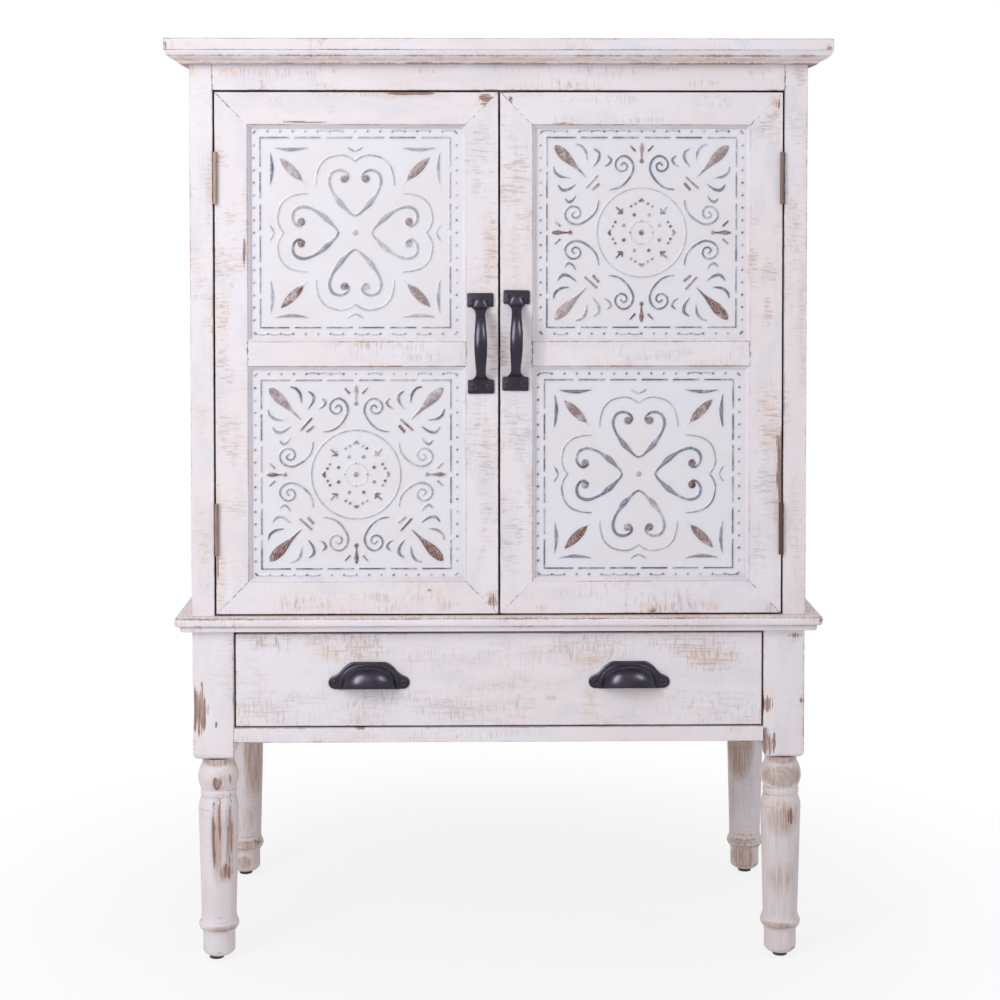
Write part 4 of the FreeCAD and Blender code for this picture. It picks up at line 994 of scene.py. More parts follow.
def cup_dome(mesh, half_width, height, projection, lift=0.0):
    """A quarter of a squared-off ball, with a wall, at a lift off the drawer's face."""
    dome = bmesh.new()
    bmesh.ops.create_uvsphere(dome, u_segments=CUP_SEGMENTS, v_segments=CUP_RINGS, radius=1.0)
    bmesh.ops.rotate(dome, matrix=Matrix.Rotation(math.radians(90), 3, "Y"), verts=dome.verts)
    for vert in dome.verts:
        total = sum(abs(part) ** CUP_SQUARENESS for part in vert.co)
        vert.co *= total ** (-1 / CUP_SQUARENESS)
        vert.co = Vector((vert.co.x * half_width, vert.co.y * projection, vert.co.z * height))
    for normal in ((0, 1, 0), (0, 0, -1)):
        bmesh.ops.bisect_plane(dome, geom=dome.verts[:] + dome.edges[:] + dome.faces[:],
                               plane_co=(0, 0, 0), plane_no=normal, clear_outer=True)
    for vert in dome.verts:
        vert.co.z -= CUP_MOUTH_SLOPE * vert.co.y * (1 - vert.co.z / height)
    bmesh.ops.recalc_face_normals(dome, faces=dome.faces)
    bmesh.ops.solidify(dome, geom=dome.faces[:], thickness=min(CUP_WALL, projection / 2))
    join(mesh, dome, Matrix.Translation((0, -lift, 0)))


def cup_flange(mesh):
    """The flat plate behind the dome, with an ear round each screw and sloping shoulders."""
    outline = []
    for step in range(EAR_STEPS + 1):
        angle = math.radians(EAR_TURN * step / EAR_STEPS - 90)
        outline.append((CUP_EAR_X + CUP_EAR_RADIUS * math.cos(angle),
                        CUP_EAR_RADIUS * (1 + math.sin(angle))))
    outline += CUP_SHOULDER
    outline += [(-x, z) for x, z in reversed(outline)]
    plate = mesh.faces.new([mesh.verts.new((x, 0, z)) for x, z in outline])
    grown = bmesh.ops.extrude_face_region(mesh, geom=[plate])
    front = [part for part in grown["geom"] if isinstance(part, bmesh.types.BMVert)]
    bmesh.ops.translate(mesh, vec=(0, -CUP_FLANGE, 0), verts=front)
    rim = [edge for edge in mesh.edges if all(vert in front for vert in edge.verts)]
    bevelled(mesh, rim, CUP_FLANGE_CHAMFER, 3)


def add_screws(pull, body, centres, radius):
    """A pull's low round screw heads, and the ring of each one's countersunk hole, in paler rubbed
    metal that is partly a painted highlight.
    """
    heads, rims = bmesh.new(), bmesh.new()
    for centre in centres:
        place = Matrix.Translation(centre) @ FACING_FRONT
        head = bmesh.new()
        bmesh.ops.create_cone(head, cap_ends=True, segments=SCREW_SIDES, radius1=radius,
                              radius2=radius * SCREW_CROWN, depth=SCREW_HEIGHT)
        crown = [edge for edge in head.edges if all(vert.co.z > 0 for vert in edge.verts)]
        bevelled(head, crown, SCREW_HEIGHT * SCREW_ROUND, 3, profile=0.6)
        join(heads, head, place)
        rim = bmesh.new()
        ring = bmesh.ops.create_circle(rim, cap_ends=False, segments=8, radius=SCREW_RIM)["verts"]
        bmesh.ops.rotate(rim, matrix=Matrix.Rotation(math.radians(90), 3, "X"), verts=ring)
        bmesh.ops.translate(rim, vec=(radius + SCREW_RIM_GAP, 0, 0), verts=ring)
        spun(rim, SCREW_RIM_SIDES)
        bmesh.ops.recalc_face_normals(rim, faces=rim.faces)
        join(rims, rim, place)
    finish_piece(pull + "_screw_heads", heads, black_iron, body, [pull + "_screws"])
    finish_piece(pull + "_screw_rims", rims, rubbed_iron_glint, body, [], 60)


for word, side in (("left", -1), ("right", 1)):
    cup = bmesh.new()
    cup_flange(cup)
    cup_dome(cup, CUP_HALF_WIDTH, CUP_HEIGHT, CUP_PROJECTION)
    cup_dome(cup, CUP_WELT_HALF_WIDTH, CUP_WELT_HEIGHT, CUP_WELT_RISE, CUP_FLANGE)
    bmesh.ops.translate(cup, vec=(side * CUP_CENTRE_X, CUP_FACE_Y, CUP_BASE_Z), verts=cup.verts)
    finish_piece(f"{word}_cup_pull_cast", cup, black_iron, "drawer",
                 [f"{word}_cup_pull"], 45)
screw_y, screw_z = CUP_FACE_Y - CUP_FLANGE - CUP_SCREW_OUT, CUP_BASE_Z + CUP_EAR_RADIUS
centres = [Vector((side * CUP_CENTRE_X + ear * CUP_EAR_X, screw_y, screw_z))
           for side in (-1, 1) for ear in (-1, 1)]
add_screws("cup_pull", "drawer", centres, CUP_SCREW_RADIUS)

# Door frames
# Four mitred members with a bevelled inner edge hold the tiles, and a rail between the tiles
# is coped over the bevels. The stain shows along the mitres and the inner arrises; the lines are
# drawn strongest under the top rail and the mid rail as painted shade, and the edges in the
# gaps are painted shade too.
FRAME_FACE = 0.039
MID_RAIL_HALF = 0.015


def make_door_edges_group():
    """Distances on a door to the arrises, mitres and mid rail's ends; its lines, partly painted shade;
    and its gaps' painted shade.
    """
    group, given, result = new_group("door_edges", ("Place", "Centre", "Half"), {"Rail": 0.0},
                                     ("Edge", "Joint", "Line", "Dark"))
    offset = vector("SUBTRACT", given["Place"], given["Centre"])
    _, y, z = parts(offset)
    from_side, _, from_end = parts(vector("SUBTRACT", given["Half"], vector("ABSOLUTE", offset)))
    depth = most(plus(y, parts(given["Half"])["Y"]), 0.0)
    rim, up = least(from_side, from_end), unsigned(z)
    to_opening, to_arris = apart(rim, FRAME_FACE), apart(up, MID_RAIL_HALF)

    def for_member(frame_value, rail_value):
        return add_node(group, "Mix", {0: given["Rail"], 2: frame_value, 3: rail_value},
                        data_type="FLOAT")[0]

    frame_edge = least(most(rim, depth), plus(to_opening, depth, 0.0004))
    mitre = plus(apart(from_side, from_end), depth)
    rail_end = plus(apart(from_side, FRAME_FACE), rising(up, MID_RAIL_HALF, MID_RAIL_HALF + 0.004),
                    depth)
    thin = thin_line(to_opening)
    # Painted shade: the line along the top rail's inner arris, which faces down, is drawn stronger than
    # the others
    top = times(thin, rising(minus(from_end, from_side), 0.0008, -0.0008), rising(z, 0.0, 0.05))
    frame_line = most(times(top, 0.72), times(thin, 0.30))
    # Painted shade: the mid rail's lower arris, which faces down, gets a stronger line than its upper
    # one
    rail_line = times(thin_line(to_arris, 0.0012), scaled(rising(z, 0.0, -0.005), 0.50, 0.34))
    # Dark is painted shade on the door's edges in the gaps
    return finish_group(group, result, Edge=for_member(frame_edge, plus(to_arris, depth)),
                        Joint=least(mitre, rail_end), Line=for_member(frame_line, rail_line),
                        Dark=times(in_gap(depth), on_side(rim)))


DOOR_EDGES = make_door_edges_group()


def door_edges(word, rail):
    low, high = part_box(f"{word}_door_bottom_rail")[0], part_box(f"{word}_door_top_rail")[1]

    def edges(place, inputs):
        here = {"Place": place, "Centre": (low + high) / 2, "Half": (high - low) / 2, "Rail": rail}
        found = add_node(place.id_data, "Group", here, node_tree=DOOR_EDGES)
        return {name: found[name] for name in ("Edge", "Joint", "Line", "Dark")}
    return edges


DOOR_WORN = {
    "left_door_top_rail": {
        "Bare": ((-107, 1061, 21.7, 1.8, 1), (-15, 1054, 7.8, 6, 0.7), (-234, 1026, 24.1, 1.5, 0.7)),
        "Tan": ((-135, 1060, 69.2, 4.2, 0.9), (-17, 1051, 13.3, 12, 0.9), (-243, 1027, 39.1, 2.7, 1)),
        "Hatch": ((-269, 1051, 7.2, 7.2, 0.5), (-203, 1042, 6, 6, 0.7)),
    },
    "left_door_hinge_stile": {
        "Hatch": ((-334, 981, 9.6, 14.4, 0.9), (-327, 918, 14.4, 14.5, 0.8),
                  (-325, 857, 18.5, 32.6, 0.5), (-335, 792, 7.7, 25.4, 1), (-333, 729, 10.1, 37.5, 0.7),
                  (-327, 646, 15.6, 30.4, 0.9), (-324, 564, 16.2, 18.3, 0.8)),
        "Tan": ((-325, 869, 18.6, 20.5, 0.6), (-334, 791, 10.7, 33.3, 0.9), (-340, 582, 4.1, 24.3, 1),
                (-337, 475, 7.7, 39.6, 1)),
        "Bare": ((-342, 480, 2.3, 26.8, 0.8), (-307, 870, 1.7, 14.5, 0.9)),
    },
    "left_door_lock_stile": {
        "Tan": ((-11, 875, 9.6, 62.9, 0.9), (-8, 755, 6.6, 35.2, 1), (-16, 655, 6, 37.7, 0.9),
                (-10, 450, 8.5, 15.3, 0.9)),
        "Hatch": ((-21, 975, 19.3, 42.2, 0.5), (-9, 866, 7.2, 66.5, 0.6), (-8, 757, 6.6, 41.8, 1.2),
                  (-21, 648, 19.4, 42.6, 0.6), (-15, 526, 13.3, 42.7, 0.5)),
        "Bare": ((-8, 446, 4.9, 8.6, 0.8),),
    },
    "left_door_bottom_rail": {
        "Hatch": ((-236, 442, 36.3, 8.7, 0.8), (-139, 450, 57, 6.9, 0.9), (-64, 442, 15.8, 9.8, 0.8),
                  (-133, 437, 36.4, 5.6, 0.6)),
        "Tan": ((-235, 441, 31.5, 6.8, 0.6), (-68, 442, 10.9, 9.8, 1)),
        "Bare": ((-85, 459, 2.4, 1.5, 0.9),),
    },
    "left_door_mid_rail": {
        "Hatch": ((-135, 756, 69.5, 6.7, 0.8), (-96, 743, 24.2, 6.1, 0.5)),
    },
    "right_door_top_rail": {
        "Hatch": ((113, 1053, 42.3, 6, 0.7), (270, 1051, 18.2, 7.2, 0.7), (13, 1053, 3.6, 4.8, 1),
                  (185, 1029, 33.3, 3.6, 0.8)),
        "Bare": ((14, 1053, 1.8, 3.6, 0.8), (78, 1026, 13.3, 1.5, 0.7)),
        "Tan": ((81, 1030, 16.3, 4.2, 0.9), (333, 1051, 8.5, 9.6, 1)),
    },
    "right_door_lock_stile": {
        "Hatch": ((8, 1017, 7.2, 24.1, 0.6), (19, 960, 18.1, 35, 1.3), (29, 915, 10.3, 24.2, 0.8),
                  (6, 749, 5.4, 36.4, 1.2), (18, 541, 17, 45.8, 0.8), (19, 648, 18.2, 42.6, 0.4)),
        "Tan": ((18, 960, 16.9, 32.6, 0.7), (18, 866, 19.4, 54.4, 0.5), (5, 750, 6.7, 35.2, 0.7),
                (37, 566, 4.3, 39.6, 1)),
    },
    "right_door_hinge_stile": {
        "Tan": ((334, 1046, 7.9, 13.3, 1.2), (335, 1014, 7.4, 21.1, 0.7), (306, 855, 5, 27.3, 1),
                (324, 844, 10.4, 11.5, 0.8), (330, 667, 13.6, 40.2, 0.9), (338, 619, 6.3, 58.5, 1.1),
                (339, 553, 6.8, 14.7, 1.2), (326, 795, 4.9, 21.9, 0.9)),
        "Bare": ((336, 1050, 3.1, 6.6, 0.6), (341, 617, 3.3, 48.8, 0.8)),
        "Hatch": ((327, 1026, 14.6, 13.3, 1), (309, 905, 6.7, 10.9, 0.8), (308, 856, 6.2, 28.5, 1.5),
                  (324, 841, 10.4, 17, 0.9), (328, 663, 16, 41.4, 1.1), (328, 582, 16, 28.7, 0.9),
                  (325, 796, 6.2, 23.1, 1.1), (320, 495, 15.4, 49, 0.4)),
    },
    "right_door_bottom_rail": {
        "Hatch": ((199, 445, 45.7, 13.6, 0.8), (334, 438, 11, 8, 0.9), (110, 456, 36.5, 9.3, 0.4)),
        "Tan": ((186, 439, 19.5, 7.4, 1), (260, 437, 11, 5.5, 1), (50, 437, 9.1, 4.9, 0.9)),
        "Bare": ((187, 435, 3.7, 3.1, 0.7),),
    },
    "right_door_mid_rail": {
        "Tan": ((291, 754, 8.5, 7.9, 0.9), (68, 758, 18.2, 3.7, 0.6)),
        "Hatch": ((183, 744, 60.7, 7.4, 0.3),),
    },
}

for word in ("left", "right"):
    for member in ("hinge_stile", "lock_stile", "top_rail", "bottom_rail", "mid_rail"):
        node = f"{word}_door_{member}"
        paint = whitewash(node, GRAIN_UP if "stile" in member else GRAIN_ACROSS,
                          door_edges(word, float(member == "mid_rail")), 0.45, 0.7, DOOR_WORN[node])
        softened(node, f"{word}_door", paint, 0.0004, mitred=True)
    dress(inner_coat(f"{word}_backing_coat", GRAIN_UP), f"{word}_door_backing")

# Tiles
# Embossed metal sheets set in the doors behind the frame: a beaded and dashed border round
# either four scrolled hearts or a rosette in a ring with spirals. Grey-blue and brown colour
# was rubbed over the raised lines and wiped back.
TILE_PITCH = 0.00090
# The ornament is in millimetres from the tile's middle. The dashed line runs this far out and is
# this wide to each side, and the beads run outside it
BORDER_HALF = 115.0
BORDER_LINE = 0.85
BEAD_HALF = 122.6
BEAD_SPACING = 15.1
BEAD_RADIUS = 1.3
DASH_SPACING = 38.33
DASH_LENGTH = 30.4
# How high a broad stroke rises, how wide its side slopes, how fast its soft shade fades away from
# it, and how far from it anything of it is looked for
RELIEF = 1.25
STROKE_SLOPE = 1.5
SHADE_REACH = 2.2
STROKE_MARGIN = 5.0
# The share of the relief that a line without width has, and what each mm of half width adds
THIN_RISE = 0.45
RISE_BY_WIDTH = 0.28
# How strong the colour is on a stroke's edge and over what width it thins out there, and how
# far inside the edge the stroke's paler core begins and over what width it comes
INK_AT_EDGE = 0.55
INK_WIDTH = 0.8
CORE_INSET = 0.55
CORE_WIDTH = 0.7
# How unevenly the hand rubbed from stroke to stroke, and in what share of the gaps between beads
# it left colour from one bead to the next
HAND_PRESSURE = (0.6, 1.15)
RUBBED_LINKS = 0.40


def smooth_path(points, steps=8):
    """Points on a curve through the given ones; each is across, up and half width."""
    ends = [points[0], *points, points[-1]]
    path = []
    for before, start, stop, after in zip(ends, ends[1:], ends[2:], ends[3:]):
        for step in range(steps):
            t = step / steps
            path.append([0.5 * (2 * b + (c - a) * t + (2 * a - 5 * b + 4 * c - d) * t * t
                                + (3 * b - a - 3 * c + d) * t * t * t)
                         for a, b, c, d in zip(before, start, stop, after)])
    path.append(list(points[-1]))
    return path


def turned_four(path):
    """The path at each side of the tile."""
    return [[(x * c - z * s, x * s + z * c, w) for x, z, w in path]
            for c, s in ((1, 0), (0, 1), (-1, 0), (0, -1))]


def all_eight(path):
    """The path and its mirror image at each side of the tile."""
    return turned_four(path) + turned_four([(-x, z, w) for x, z, w in path])


def dot(x, z, radius):
    return [(x, z, radius), (x, z, radius)]


def on_circle(radius, degrees):
    angle = math.radians(degrees)
    return radius * math.cos(angle), radius * math.sin(angle)


def strokes_of(color, strength, copied, *paths):
    """Strokes of one colour and strength along all the copies of each path."""
    return [(color, copy, strength) for path in paths for copy in copied(path)]


def border_strokes():
    """The dashed rectangle with closed corners, and the row of beads outside it."""
    spans = [[place * DASH_SPACING - DASH_LENGTH / 2, place * DASH_SPACING + DASH_LENGTH / 2]
             for place in (-2.5, -1.5, -0.5, 0.5, 1.5, 2.5)]
    spans[0][0], spans[-1][1] = -BORDER_HALF, BORDER_HALF
    dashes = [[(end, BORDER_HALF, BORDER_LINE) for end in span] for span in spans]
    places = [place * BEAD_SPACING for place in range(-8, 9)]
    strokes = strokes_of("blue", 1.0, turned_four, *dashes,
                         *(dot(place, BEAD_HALF, BEAD_RADIUS) for place in places))
    for low, high in zip(places, places[1:]):
        link = smooth_path([(low, BEAD_HALF, 0.4), ((low + high) / 2, BEAD_HALF + 1.2, 0.6),
                            (high, BEAD_HALF, 0.4)], 4)
        strokes += [("rubbing", path, 0.75) for path in turned_four(link)[::2]]
    return strokes


HEART = [(0.0, 20.4, 1.0), (4.6, 22.6, 1.2), (11.0, 28.6, 1.8), (17.6, 35.6, 3.3), (22.6, 42.2, 2.2),
         (27.6, 50.0, 1.4), (30.8, 58.6, 1.6), (31.0, 65.6, 1.7), (27.8, 72.4, 1.6), (21.6, 75.4, 1.5),
         (15.0, 75.0, 1.5), (9.6, 71.2, 1.5), (8.4, 66.4, 1.6), (11.4, 62.6, 1.8)]
HEART_BALL = dot(13.4, 65.2, 4.6)
HEART_OUTLINE = [(47.4, 58.0, 0.5), (46.6, 68.0, 0.7), (42.4, 81.0, 0.8), (32.6, 90.2, 0.8),
                 (17.0, 93.8, 0.8), (6.6, 91.0, 0.8), (0.4, 86.8, 0.7)]
TICK = [(8.8, 103.0, 0.5), (5.2, 100.6, 1.0), (0.4, 98.4, 0.6)]
CRESCENT = [(-96.5, 102.4, 0.3), (-87.0, 101.0, 1.4), (-77.0, 100.4, 2.1), (-67.0, 101.2, 1.4),
            (-58.0, 102.6, 0.3)]
LEAF = [(-90.5, 89.5, 0.6), (-84.8, 83.8, 3.7), (-78.5, 77.5, 5.2), (-71.5, 70.5, 4.6),
        (-66.6, 65.6, 2.4), (-64.0, 63.2, 0.6)]
LEAF_TAIL = [(-63.4, 62.6, 0.5), (-59.0, 58.4, 0.3)]


def heart_strokes():
    return (strokes_of("blue", 1.0, all_eight, smooth_path(HEART))
            + strokes_of("brown", 0.9, all_eight, HEART_BALL)
            + strokes_of("blue", 0.75, all_eight, smooth_path(HEART_OUTLINE), smooth_path(TICK))
            + strokes_of("blue", 1.0, all_eight, smooth_path(CRESCENT))
            + strokes_of("brown", 1.0, turned_four, smooth_path(LEAF))
            + strokes_of("blue", 0.35, turned_four, LEAF_TAIL)
            + [("brown", dot(0, 0, 3.4), 0.8)])


SPIRAL = [(-39.0, 52.2, 0.6), (-32.0, 53.2, 0.9), (-24.0, 56.6, 1.1), (-15.6, 65.2, 1.2),
          (-10.2, 76.4, 1.3), (-12.0, 86.4, 1.3), (-18.4, 92.2, 1.2), (-25.6, 91.8, 1.1),
          (-31.2, 86.0, 1.1), (-31.0, 78.8, 1.1), (-25.6, 74.4, 1.1), (-19.4, 76.2, 1.1),
          (-18.0, 81.4, 1.1), (-21.6, 84.6, 1.0), (-25.0, 81.8, 0.9)]
PETAL_OUTER = [(-79.0, 106.8, 0.8), (-72.6, 104.6, 1.5), (-67.8, 98.0, 1.6), (-66.2, 88.0, 0.4)]
PETAL_MIDDLE = [(-57.4, 101.2, 0.7), (-51.8, 96.2, 1.7), (-52.6, 88.2, 1.4), (-58.4, 80.0, 0.4)]
PETAL_INNER = [(-41.0, 92.6, 0.6), (-37.2, 88.6, 1.5), (-39.4, 83.6, 1.1), (-44.6, 80.2, 0.4)]
CLUB = [(-105.0, 105.0, 0.6), (-101.0, 101.0, 4.4), (-94.0, 94.0, 6.2), (-86.0, 86.0, 4.2),
        (-78.0, 78.0, 1.8), (-67.5, 67.5, 0.4)]
LONG_BAR = [(-66.6, 54.6, 1.3), (-54.4, 68.2, 1.3)]
SHORT_BAR = [(-59.0, 52.8, 1.7), (-52.6, 58.2, 1.7)]
MARK_HEAD = [(0.0, 107.4, 1.4), (0.0, 102.0, 2.6), (0.0, 95.0, 1.3), (0.0, 89.0, 0.9)]
MARK_DOT = dot(0.0, 86.6, 2.6)
MARK_TICK = [(-13.4, 104.8, 0.9), (-8.4, 99.4, 1.3)]
PEAK = [(0.0, 39.4, 1.9), (2.6, 38.2, 1.2)]
PEAK_DOTS = (dot(7.6, 35.0, 1.7), dot(12.8, 32.0, 1.6))
STAR_DOT = dot(8.9, 21.6, 2.1)
SEED_STEM = [(-30.6, 30.6, 0.9), (-25.6, 26.2, 1.5)]
SEED_ARM = [(-28.4, 23.4, 1.0), (-23.4, 24.4, 1.4)]
RING_RADIUS = 54.1
HUB_RADIUS = 13.8


def rosette_strokes():
    ring = [(*on_circle(RING_RADIUS, 4 * step), 0.75) for step in range(91)]
    hub = [("brown", dot(*on_circle(HUB_RADIUS, 15 * step), 1.0), 0.3 if step % 6 else 1.0)
           for step in range(24)]
    petals = map(smooth_path, (SPIRAL, PETAL_OUTER, PETAL_MIDDLE, PETAL_INNER))
    bars = map(smooth_path, (CLUB, LONG_BAR, SHORT_BAR, MARK_HEAD, MARK_DOT, SEED_STEM))
    return ([("blue", ring, 0.6)] + strokes_of("blue", 1.0, all_eight, *petals)
            + strokes_of("brown", 1.0, turned_four, *bars)
            + strokes_of("brown", 1.0, all_eight, MARK_TICK, PEAK, *PEAK_DOTS, STAR_DOT, SEED_ARM)
            + hub + [("brown", dot(0, 0, 3.2), 1.0)])


def raise_strokes(across, up, strokes, hand):
    """Height, and how much of each colour, of outline and of soft shade every point has."""
    height, shade, core = (np.zeros_like(across) for _ in range(3))
    amount = {"blue": np.zeros_like(across), "brown": np.zeros_like(across)}
    for color, path, strength in strokes:
        if color == "rubbing":
            if hand.random() > RUBBED_LINKS:
                continue
            color = "blue"
        strength *= hand.uniform(*HAND_PRESSURE)
        points = np.array(path)
        margin = points[:, 2].max() + STROKE_MARGIN
        low, high = points.min(axis=0) - margin, points.max(axis=0) + margin
        near = np.flatnonzero((low[0] < across) & (across < high[0]) & (low[1] < up) & (up < high[1]))
        x, z = across[near], up[near]
        clear, wide = np.full(near.size, np.inf), np.zeros(near.size)
        for (x0, z0, w0), (x1, z1, w1) in zip(points, points[1:]):
            run = (x1 - x0) ** 2 + (z1 - z0) ** 2
            share = np.clip(((x - x0) * (x1 - x0) + (z - z0) * (z1 - z0)) / max(run, 1e-9), 0, 1)
            half = w0 + (w1 - w0) * share
            gap = np.hypot(x - x0 - (x1 - x0) * share, z - z0 - (z1 - z0) * share) - half
            closer = gap < clear
            clear[closer] = gap[closer]
            wide[closer] = half[closer]
        crown = np.clip((STROKE_SLOPE - clear) / (STROKE_SLOPE + wide), 0, 1)
        rise = np.minimum(THIN_RISE + RISE_BY_WIDTH * wide, 1) * RELIEF * crown ** 2 * (3 - 2 * crown)
        height[near] = np.maximum(height[near], rise)
        tint = np.clip(INK_AT_EDGE - clear / INK_WIDTH, 0, 1) * strength
        over = tint >= amount[color][near]
        inside = np.clip((-clear - CORE_INSET) / CORE_WIDTH, 0, 1)
        core[near] = np.where(over, inside, core[near])
        amount[color][near] = np.maximum(amount[color][near], tint)
        shade[near] = np.maximum(shade[near], np.exp(-np.maximum(clear, 0) / SHADE_REACH) * strength)
    return height, {**amount, "shade": shade, "core": core}


def tile_piece(node, body, strokes, material, hand, off_centre):
    """The node's sheet with the strokes raised on its face, and the colours as attributes."""
    low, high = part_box(node)
    size = high - low
    mesh = bmesh.new()
    bmesh.ops.create_grid(mesh, x_segments=round(size.x / TILE_PITCH),
                          y_segments=round(size.z / TILE_PITCH), size=0.5)
    bmesh.ops.scale(mesh, vec=(size.x, size.z, 1), verts=mesh.verts)
    bmesh.ops.rotate(mesh, matrix=Matrix.Rotation(math.radians(90), 3, "X"), verts=mesh.verts)
    across = np.array([vert.co.x for vert in mesh.verts]) / MM - off_centre[0]
    up = np.array([vert.co.z for vert in mesh.verts]) / MM - off_centre[1]
    height, amounts = raise_strokes(across, up, strokes, hand)
    layers = [mesh.verts.layers.float.new(name) for name in amounts]
    for vert, rise, *values in zip(mesh.verts, height, *amounts.values()):
        vert.co.y = -rise * MM
        for layer, value in zip(layers, values):
            vert[layer] = value
    rim = [edge for edge in mesh.edges if edge.is_boundary]
    back = bmesh.ops.extrude_edge_only(mesh, edges=rim)["geom"]
    bmesh.ops.translate(mesh, vec=(0, size.y, 0),
                        verts=[part for part in back if isinstance(part, bmesh.types.BMVert)])
    bmesh.ops.holes_fill(mesh, edges=[edge for edge in mesh.edges if edge.is_boundary], sides=0)
    bmesh.ops.recalc_face_normals(mesh, faces=mesh.faces)
    middle = (low + high) / 2
    bmesh.ops.translate(mesh, vec=(middle.x, low.y, middle.z), verts=mesh.verts)
    finish_piece(node + "_embossed", mesh, material, body, [node], 60)


TILE_WHITE = (0.80, 0.780, 0.845, 1)
TILE_PINK = (0.80, 0.760, 0.80, 1)
TILE_SHADE = (0.66, 0.675, 0.775, 1)
RUBBED_BLUE = (0.105, 0.112, 0.165, 1)
RUBBED_GREY = (0.14, 0.098, 0.11, 1)
RUBBED_LILAC = (0.36, 0.38, 0.46, 1)
RUBBED_BROWN = (0.125, 0.048, 0.042, 1)
RUBBED_TAN = (0.50, 0.34, 0.31, 1)


def tile_paint():
    """Satin white with the colours broken up by the weave of the rag that wiped them."""
    material, place = new_material("tile_paint")
    clouds = marks(place, (14, 14, 14), 4.0)
    rag_up = marks(place, (800, 800, 240), 2.0)
    rag = most(rag_up, marks(place, (240, 800, 800), 2.0))
    blotch = marks(place, (95, 95, 95))
    held = scaled(rising(plus(times(rag, 0.45), times(blotch, 0.75)), 0.45, 0.72), 0.68, 0.40)
    blue, brown, shade, core = (add_node(place.id_data, "Attribute", attribute_name=name)["Fac"]
                                for name in ("blue", "brown", "shade", "core"))
    color = blended(rising(clouds, 0.40, 0.62), TILE_WHITE, TILE_PINK)
    color = blended(times(rising(blotch, 0.55, 0.75), 0.25), color, TILE_SHADE)
    color = blended(times(shade, 0.50), color, TILE_SHADE)
    blue_ink = blended(rising(blotch, 0.50, 0.66), RUBBED_BLUE, RUBBED_GREY)
    blue_ink = blended(times(core, rising(blotch, 0.38, 0.60), 0.7), blue_ink, RUBBED_LILAC)
    color = blended(times(blue, held, clamp=True), color, blue_ink)
    weave = most(rag_up, marks(place, (900, 900, 900), 2.0))
    brown_ink = blended(times(core, rising(weave, 0.52, 0.64)), RUBBED_BROWN, RUBBED_TAN)
    color = blended(times(brown, least(held, 0.92), clamp=True), color, brown_ink)
    return surfaced(material, color, 0.48, (rag, 0.15, 0.0003), {"Specular IOR Level": 0.30})


tile_finish = tile_paint()
# Each tile's pattern, how far in mm it was pressed off the middle of its opening, and how
# strong its colours are
PATTERNS = {"left_door_upper_tile": (heart_strokes, (-2.1, 0.7), 0.95),
            "left_door_lower_tile": (rosette_strokes, (-1.5, -1.1), 1.1),
            "right_door_upper_tile": (rosette_strokes, (0.7, 0.8), 1.2),
            "right_door_lower_tile": (heart_strokes, (-2.2, -1.0), 1.3)}
for number, (node, (pattern, off_centre, share)) in enumerate(PATTERNS.items()):
    strokes = [(color, path, strength * share)
               for color, path, strength in border_strokes() + pattern()]
    tile_piece(node, node.rsplit("_", 2)[0], strokes, tile_finish, random.Random(number), off_centre)

# Door pulls
# Cast black bows: a screwed plate at each end, a boss that flares from it, a narrow neck and a
# swelling grip that stands 33 mm off the door.
PULL_PLATE_HALF = 0.016
PULL_PLATE_HEIGHT = 0.017
PULL_PLATE_THICK = 0.003
PULL_HALF = 0.061
PULL_BOW = 0.033
PULL_GRIP = 0.008
PULL_SCREW_SPREAD = 0.009
PULL_SCREW_RADIUS = 0.0024
PULL_SCREW_OUT = 0.0004
PULL_PLATE_CORNER = 0.0020
PULL_PLATE_RIM = 0.0008
# How much nearer the middle the bow's hollow side meets the plates
PULL_INNER_INSET = 0.0015
# How far the bow stands over the plate where it meets it, how far its foot runs along the
# plate, how deep the foot is let in, and what is left of the bow's width and rise at its end
BOSS_RISE = 0.0024
BOSS_FOOT = 0.0088
BOSS_SINK = 0.0002
BOSS_NARROWING = 0.5
BOSS_FLATTENING = 0.12
# Half width across the door, by height from the middle of the pull
PULL_WIDTHS = ((0.0, 0.0077), (0.010, 0.0076), (0.022, 0.0067), (0.031, 0.0060), (0.0365, 0.0059),
               (0.0395, 0.0068), (0.0420, 0.0086), (0.0440, 0.0112))
PULL_STATIONS = 22
PULL_SIDES = 28
# How far each pull leans out of upright, in degrees to the right
PULL_LEAN = {"left_door": -0.47, "right_door": 0.74}


def bow_point(share, spring, sagitta, foot):
    """A point on the bow's arc: share runs from -1 at one plate to 1 at the other."""
    radius = (spring * spring + sagitta * sagitta) / (2 * sagitta)
    turn = math.asin(spring / radius) if sagitta < radius else math.pi - math.asin(spring / radius)
    up, out = radius * math.sin(share * turn), radius * math.cos(share * turn)
    return Vector((0, -(foot + sagitta - radius + out), up))


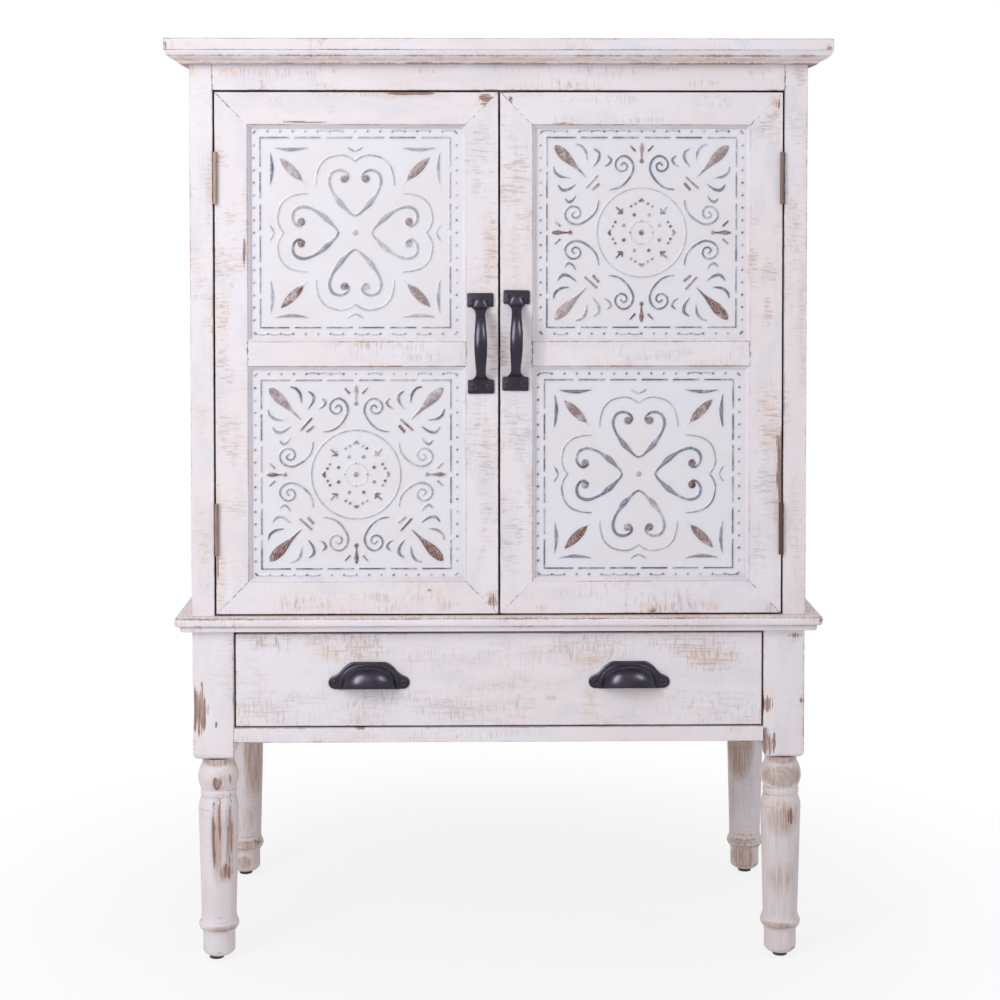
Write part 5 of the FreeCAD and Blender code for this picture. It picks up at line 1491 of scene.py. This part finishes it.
def pull_mesh():
    """Two plates, and a grip lofted through rings along the bow."""
    mesh = bmesh.new()
    half = Vector((PULL_PLATE_HALF, PULL_PLATE_THICK / 2, PULL_PLATE_HEIGHT / 2))
    for end in (-1, 1):
        middle = Vector((0, -half.y, end * (PULL_HALF - half.z)))
        add_block(mesh, middle - half, middle + half)
    corners = [edge for edge in mesh.edges if abs(edge.verts[0].co.y - edge.verts[1].co.y) > TOUCH]
    bevelled(mesh, corners, PULL_PLATE_CORNER, 4)
    rim = [edge for edge in mesh.edges
           if all(vert.co.y < -PULL_PLATE_THICK + TOUCH for vert in edge.verts)]
    bevelled(mesh, rim, PULL_PLATE_RIM, 2)

    rings = []
    foot, spring = PULL_PLATE_THICK + BOSS_RISE, PULL_HALF - PULL_PLATE_HEIGHT
    for station in range(-PULL_STATIONS, PULL_STATIONS + 1):
        share = station / PULL_STATIONS
        outer = bow_point(share, spring, PULL_BOW - foot, foot)
        inner = bow_point(share, spring - PULL_INNER_INSET, PULL_BOW - PULL_GRIP, 0)
        centre, thick = (outer + inner) / 2, (outer - inner) / 2
        wide = Vector((np.interp(abs(centre.z), *zip(*PULL_WIDTHS)), 0, 0))
        ring = bmesh.ops.create_circle(mesh, cap_ends=False, segments=PULL_SIDES, radius=1.0)["verts"]
        for vert in ring:
            vert.co = centre + thick * vert.co.y + wide * vert.co.x
        rings.append(set(ring))
    loops = [[edge for edge in mesh.edges if ring.issuperset(edge.verts)] for ring in rings]
    for first, second in zip(loops, loops[1:]):
        bmesh.ops.bridge_loops(mesh, edges=first + second)
    for end, loop in ((-1, loops[0]), (1, loops[-1])):
        boss = bmesh.ops.extrude_edge_only(mesh, edges=loop)["geom"]
        sole = [part for part in boss if isinstance(part, bmesh.types.BMVert)]
        for vert in sole:
            vert.co.x *= BOSS_NARROWING
            vert.co.z += end * BOSS_FOOT
            vert.co.y = min(vert.co.y, 0) * BOSS_FLATTENING - PULL_PLATE_THICK + BOSS_SINK
        bmesh.ops.contextual_create(mesh, geom=sole)
    bmesh.ops.recalc_face_normals(mesh, faces=mesh.faces)
    return mesh


for body, degrees in PULL_LEAN.items():
    low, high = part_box(body + "_pull")
    middle = Vector(((low.x + high.x) / 2, high.y, (low.z + high.z) / 2))
    pull = pull_mesh()
    lean = Matrix.Rotation(math.radians(degrees), 3, "Y")
    bmesh.ops.rotate(pull, matrix=lean, verts=pull.verts)
    bmesh.ops.translate(pull, vec=middle, verts=pull.verts)
    finish_piece(body + "_pull_cast", pull, black_iron, body, [body + "_pull"], 50)
    screw_y, screw_z = -PULL_PLATE_THICK - PULL_SCREW_OUT, PULL_HALF - PULL_PLATE_HEIGHT / 2
    centres = [middle + lean @ Vector((across * PULL_SCREW_SPREAD, screw_y, end * screw_z))
               for across in (-1, 1) for end in (-1, 1)]
    add_screws(body + "_pull", body, centres, PULL_SCREW_RADIUS)

# Hinges
# Butt hinges in antique bronze, two to a door: the knuckles stand in front of the gap between
# stile and door, with a pin through all five.
BRONZE_PALE = (0.36, 0.255, 0.205, 1)
BRONZE_DARK = (0.072, 0.040, 0.028, 1)
BRONZE_GAP_SHADE = (0.040, 0.022, 0.016, 1)
DOOR_GAP_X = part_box("right_door_hinge_stile")[1].x
# The paler colour grows to the left, and this share as fast with the height over the hinges' middle
HINGES_MIDDLE = 0.745
PALE_SLANT = 0.8
# Between which sums of the two it goes from none to whole
PALE_SPREAD = (-0.60, 0.62)
# How far past the gap's edge the painted shade begins, and is whole
SHADE_PAST_GAP = (0.0002, 0.0012)


def hinge_bronze():
    """Dull bronze, paler towards the upper left hinge, with painted shade on the side next the gap."""
    material, place = new_material("hinge_bronze")
    x, _, z = parts(place)
    streaks = marks(place, (900, 900, 70))
    upwards = scaled(z, PALE_SLANT, -PALE_SLANT * HINGES_MIDDLE)
    # Paler towards the upper left hinge, and darker towards the lower right
    rubbed = rising(minus(upwards, x), *PALE_SPREAD)
    color = blended(times(rubbed, scaled(streaks, 1.9, 0.05), clamp=True), BRONZE_DARK, BRONZE_PALE)
    # Painted shade on the side of each hinge next to the door gap
    beside = rising(minus(unsigned(x), DOOR_GAP_X), *SHADE_PAST_GAP)
    color = blended(times(beside, 0.75), color, BRONZE_GAP_SHADE)
    return surfaced(material, color, 0.5, others={"Metallic": 0.15, "Specular IOR Level": 0.3})


dress(hinge_bronze(), "hinge_pins",
      *(f"{side}_{part}" for side in ("hinge_frame", "left_hinge_door", "right_hinge_door")
        for part in ("leaves", "screws")))
